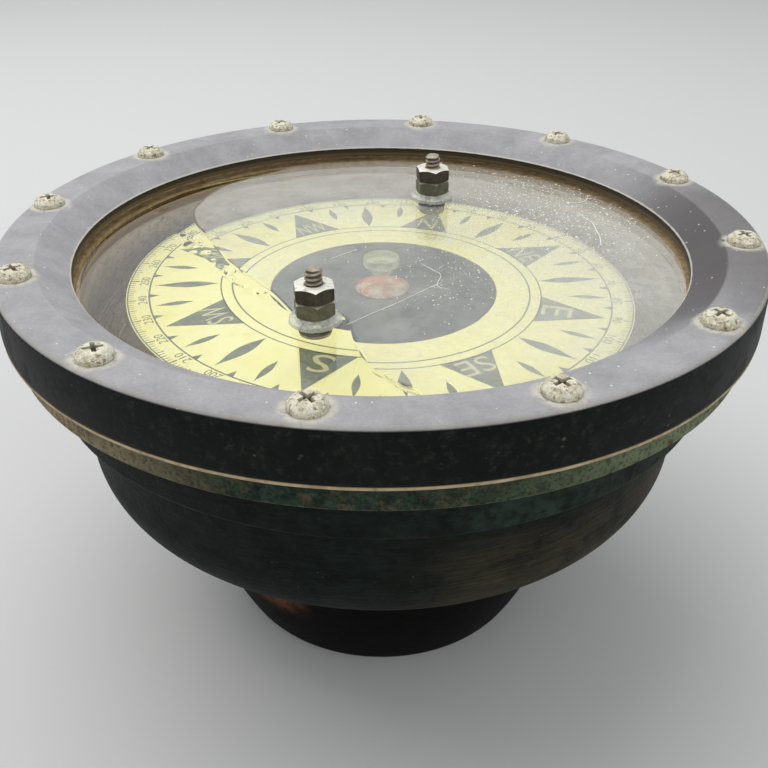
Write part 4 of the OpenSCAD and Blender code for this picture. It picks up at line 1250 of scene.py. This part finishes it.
class COMPASS_OT_dust(Maker, bpy.types.Operator):
    """Dust, lint and scratches on the glass"""

    bl_idname = "compass.dust"
    bl_label = "Dust"

    # how many flecks, middle and spread of the patch, largest fleck
    PATCHES = ((2400, 54, 38, 20, 18, 0.34), (800, 20, 20, 42, 42, 0.2), (360, 20, -22, 12, 10, 0.27),
               (300, 62, 8, 8, 9, 0.38))
    LINT = ([(64.5, 30.8), (66.0, 26.3), (67.6, 22.8), (67.8, 16.9), (67.8, 10.3), (67.0, 4.0)],
            [(62.2, 40.9), (65.0, 40.0), (68.4, 41.9), (70.4, 45.7)])
    SCRATCHES = ([(-8.8, -48.1), (-2.4, -41.8), (5.2, -34.6), (12.2, -27.1), (16.9, -22.5)],
                 [(11.7, -9.4), (15.8, -15.0), (17.1, -17.8), (15.7, -24.5), (19.1, -27.1)],
                 [(-14.9, -5.8), (-10.9, -2.1), (-7.3, 1.0)])

    def make(self, s):
        high = high_z("cover_glass")
        tree = fleck_tree()
        pieces = []
        for k, (count, x, y, wide, deep, largest) in enumerate(self.PATCHES):
            pieces.append(run_nodes("flecks", tree, {
                "Count": count, "Seed": 100.0 * k, "Middle X": x * MM, "Middle Y": y * MM, "Spread X": wide * MM,
                "Spread Y": deep * MM, "Height": (high + 0.03) * MM, "Reach": 88 * MM, "Largest": largest * MM},
                MATERIALS["dust"]))
        for strands, thickness in ((self.LINT, 0.17), (self.SCRATCHES, 0.1)):
            for line in strands:
                curve = bpy.data.curves.new("strand", "CURVE")
                curve.dimensions = "3D"
                curve.bevel_depth, curve.bevel_resolution, curve.use_fill_caps = thickness * MM, 1, True
                spots = smooth_line(line, 1.5)
                spline = curve.splines.new("POLY")
                spline.points.add(len(spots) - 1)
                for point, (x, y) in zip(spline.points, spots):
                    point.co = (x * MM, y * MM, (high + thickness) * MM, 1)
                pieces.append(baked(shown("strand", curve), "strand_mesh", MATERIALS["dust"]))
        place_piece(join("glass_dust", pieces), "bowl", "cover_glass")


def lettering(text, tall, wide, low, high, material):
    """A word of this size as a thin plate, centred on the origin, its tops towards +X."""
    curve = bpy.data.curves.new("letter", "FONT")
    curve.body = text
    curve.size = 1.0
    curve.extrude = 0.5
    curve.resolution_u = 3
    piece = baked(shown("letter", curve), "letter_" + text, material)
    corners = [Vector(c) for c in piece.bound_box]
    least, most = corners[0], corners[6]
    size, middle = most - least, (most + least) / 2
    scale = Matrix.Diagonal((wide / size.x * MM, tall / size.y * MM, (high - low) * MM, 1))
    upright = Matrix.Translation((0, 0, (low + high) / 2 * MM)) @ Matrix.Rotation(-math.pi / 2, 4, "Z")
    piece.data.transform(upright @ scale @ Matrix.Translation(-middle))
    return piece


class COMPASS_OT_card(Maker, bpy.types.Operator):
    """Print on the compass card: rings, points, letters, degree marks and numbers"""

    bl_idname = "compass.card"
    bl_label = "Card Print"

    NORTH = 73.0
    WORDS = ("N", "NE", "E", "SE", "S", "SW", "W", "NW")

    def make(self, s):
        face = high_z("compass_card")
        low, high = face - 0.02, face + 0.03
        ink, north = MATERIALS["ink"], self.NORTH
        pieces = []
        for r, width in ((45.1, 0.5), (48.5, 0.42), (69.5, 0.5), (75.7, 0.4)):
            near, far = r - width / 2, r + width / 2
            pieces.append(turned_piece("ring", [(near, low), (far, low), (far, high), (near, high)], 192, ink))
        half = math.radians(10.0)
        point = prism([*arc(48.4, -half, half, 10), (67.8, 0)], low, high)
        pieces.append(on_circle("points", point, ink, 8, first=north))

        def lozenge(start, end, width, widest=0.45):
            side = []
            for k in range(1, 12):
                t = k / 12
                swell = math.sin(math.pi * t ** (math.log(0.5) / math.log(widest))) ** 1.4
                side.append((start + (end - start) * t, width * swell))
            return [(start, 0), *side, (end, 0), *[(x, -y) for x, y in reversed(side)]]

        pieces.append(on_circle("long", prism(lozenge(49.2, 68.4, 1.9), low, high), ink, 8, first=north + 22.5))
        pieces.append(on_circle("short", prism(lozenge(57.0, 68.4, 1.1), low, high), ink, 16, first=north + 11.25))
        pieces.append(on_circle("quarter", prism([(66.6, 0), (69.4, -1.1), (69.4, 1.1)], low, high), ink, 32,
                                first=north + 5.625))
        for count, start, width in ((360, 74.0, 0.24), (72, 73.4, 0.32), (36, 73.1, 0.45)):
            tick = prism([(start, -width / 2), (75.6, -width / 2), (75.6, width / 2), (start, width / 2)], low, high)
            pieces.append(on_circle("ticks", tick, ink, count, first=north))
        for k in range(36):
            number = lettering(str(k * 10), 2.6, 1.75 * len(str(k * 10)), low, high, ink)
            number.data.transform(around(71.4, north - 10 * k))
            pieces.append(number)
        printed = join("card_print", pieces)
        place_piece(printed, "card", "card_enamel")

        letters = []
        for k, word in enumerate(self.WORDS):
            tall, wide = (8.9, 6.2) if len(word) == 1 else (7.6, 10.0)
            letter = lettering(word, tall, wide, low, high + 0.03, MATERIALS["letters"])
            letter.data.transform(around(49.3 + tall / 2, north - 45 * k))
            letters.append(letter)
        place_piece(join("card_letters", letters), "card", "card_enamel")


class COMPASS_OT_stage(Maker, bpy.types.Operator):
    """Floor, lamps and camera"""

    bl_idname = "compass.stage"
    bl_label = "Stage"

    def make(self, s):
        scene = bpy.context.scene
        props = scene.compass_stage
        bm = bmesh.new()
        bmesh.ops.create_grid(bm, x_segments=1, y_segments=1, size=6)
        floor = mesh_of("floor", bm)
        material = bpy.data.materials.new("floor")
        material.use_nodes = True
        shader = material.node_tree.nodes["Principled BSDF"]
        shader.inputs["Base Color"].default_value = props.floor_colour
        shader.inputs["Roughness"].default_value = 0.85
        floor.data.materials.append(material)

        camera = bpy.data.cameras.new("camera")
        camera.lens = props.lens
        camera.sensor_width = 36
        stand = shown("camera", camera)
        stand.location = props.camera_at
        stand.rotation_euler = (props.camera_tilt, 0, 0)
        scene.camera = stand

        for name, place, size, power in (("key", (-0.38, 0.3, 1.2), 1.5, props.key_power),
                                         ("fill", (0.7, -1.0, 0.9), 1.0, 3.0)):
            lamp = bpy.data.lights.new(name, "AREA")
            lamp.energy, lamp.size = power, size
            holder = shown(name, lamp)
            holder.location = place
            holder.rotation_euler = (Vector((0, 0, 0.1)) - holder.location).to_track_quat("-Z", "Y").to_euler()
        world = bpy.data.worlds.new("world")
        world.use_nodes = True
        world.node_tree.nodes["Background"].inputs[0].default_value = (0.9, 0.92, 0.95, 1)
        world.node_tree.nodes["Background"].inputs[1].default_value = 0.62
        scene.world = world
        scene.view_settings.view_transform = "Standard"


MAKERS = (COMPASS_OT_stage, COMPASS_OT_bowl, COMPASS_OT_ring, COMPASS_OT_screws, COMPASS_OT_studs, COMPASS_OT_stop,
          COMPASS_OT_foot, COMPASS_OT_solids, COMPASS_OT_liquid, COMPASS_OT_mist, COMPASS_OT_dust, COMPASS_OT_card)


class COMPASS_PT_panel(bpy.types.Panel):
    """Lists the pieces in the sidebar"""

    bl_idname = "COMPASS_PT_panel"
    bl_label = "Marine Compass"
    bl_space_type = "VIEW_3D"
    bl_region_type = "UI"
    bl_category = "Compass"

    def draw(self, context):
        for holder in (context.scene.compass_sizes, context.scene.compass_stage):
            for key in holder.__annotations__:
                self.layout.prop(holder, key)
        for maker in MAKERS:
            self.layout.operator(maker.bl_idname)


CLASSES = (COMPASS_PG_sizes, COMPASS_PG_stage, *MAKERS, COMPASS_PT_panel)


def register():
    for cls in CLASSES:
        bpy.utils.register_class(cls)
    bpy.types.Scene.compass_sizes = PointerProperty(type=COMPASS_PG_sizes)
    bpy.types.Scene.compass_stage = PointerProperty(type=COMPASS_PG_stage)


def unregister():
    del bpy.types.Scene.compass_stage
    del bpy.types.Scene.compass_sizes
    for cls in reversed(CLASSES):
        bpy.utils.unregister_class(cls)


def main():
    """Makes every piece in order."""
    register()
    for maker in MAKERS:
        group, name = maker.bl_idname.split(".")
        getattr(getattr(bpy.ops, group), name)()


if __name__ == "__main__":
    main()
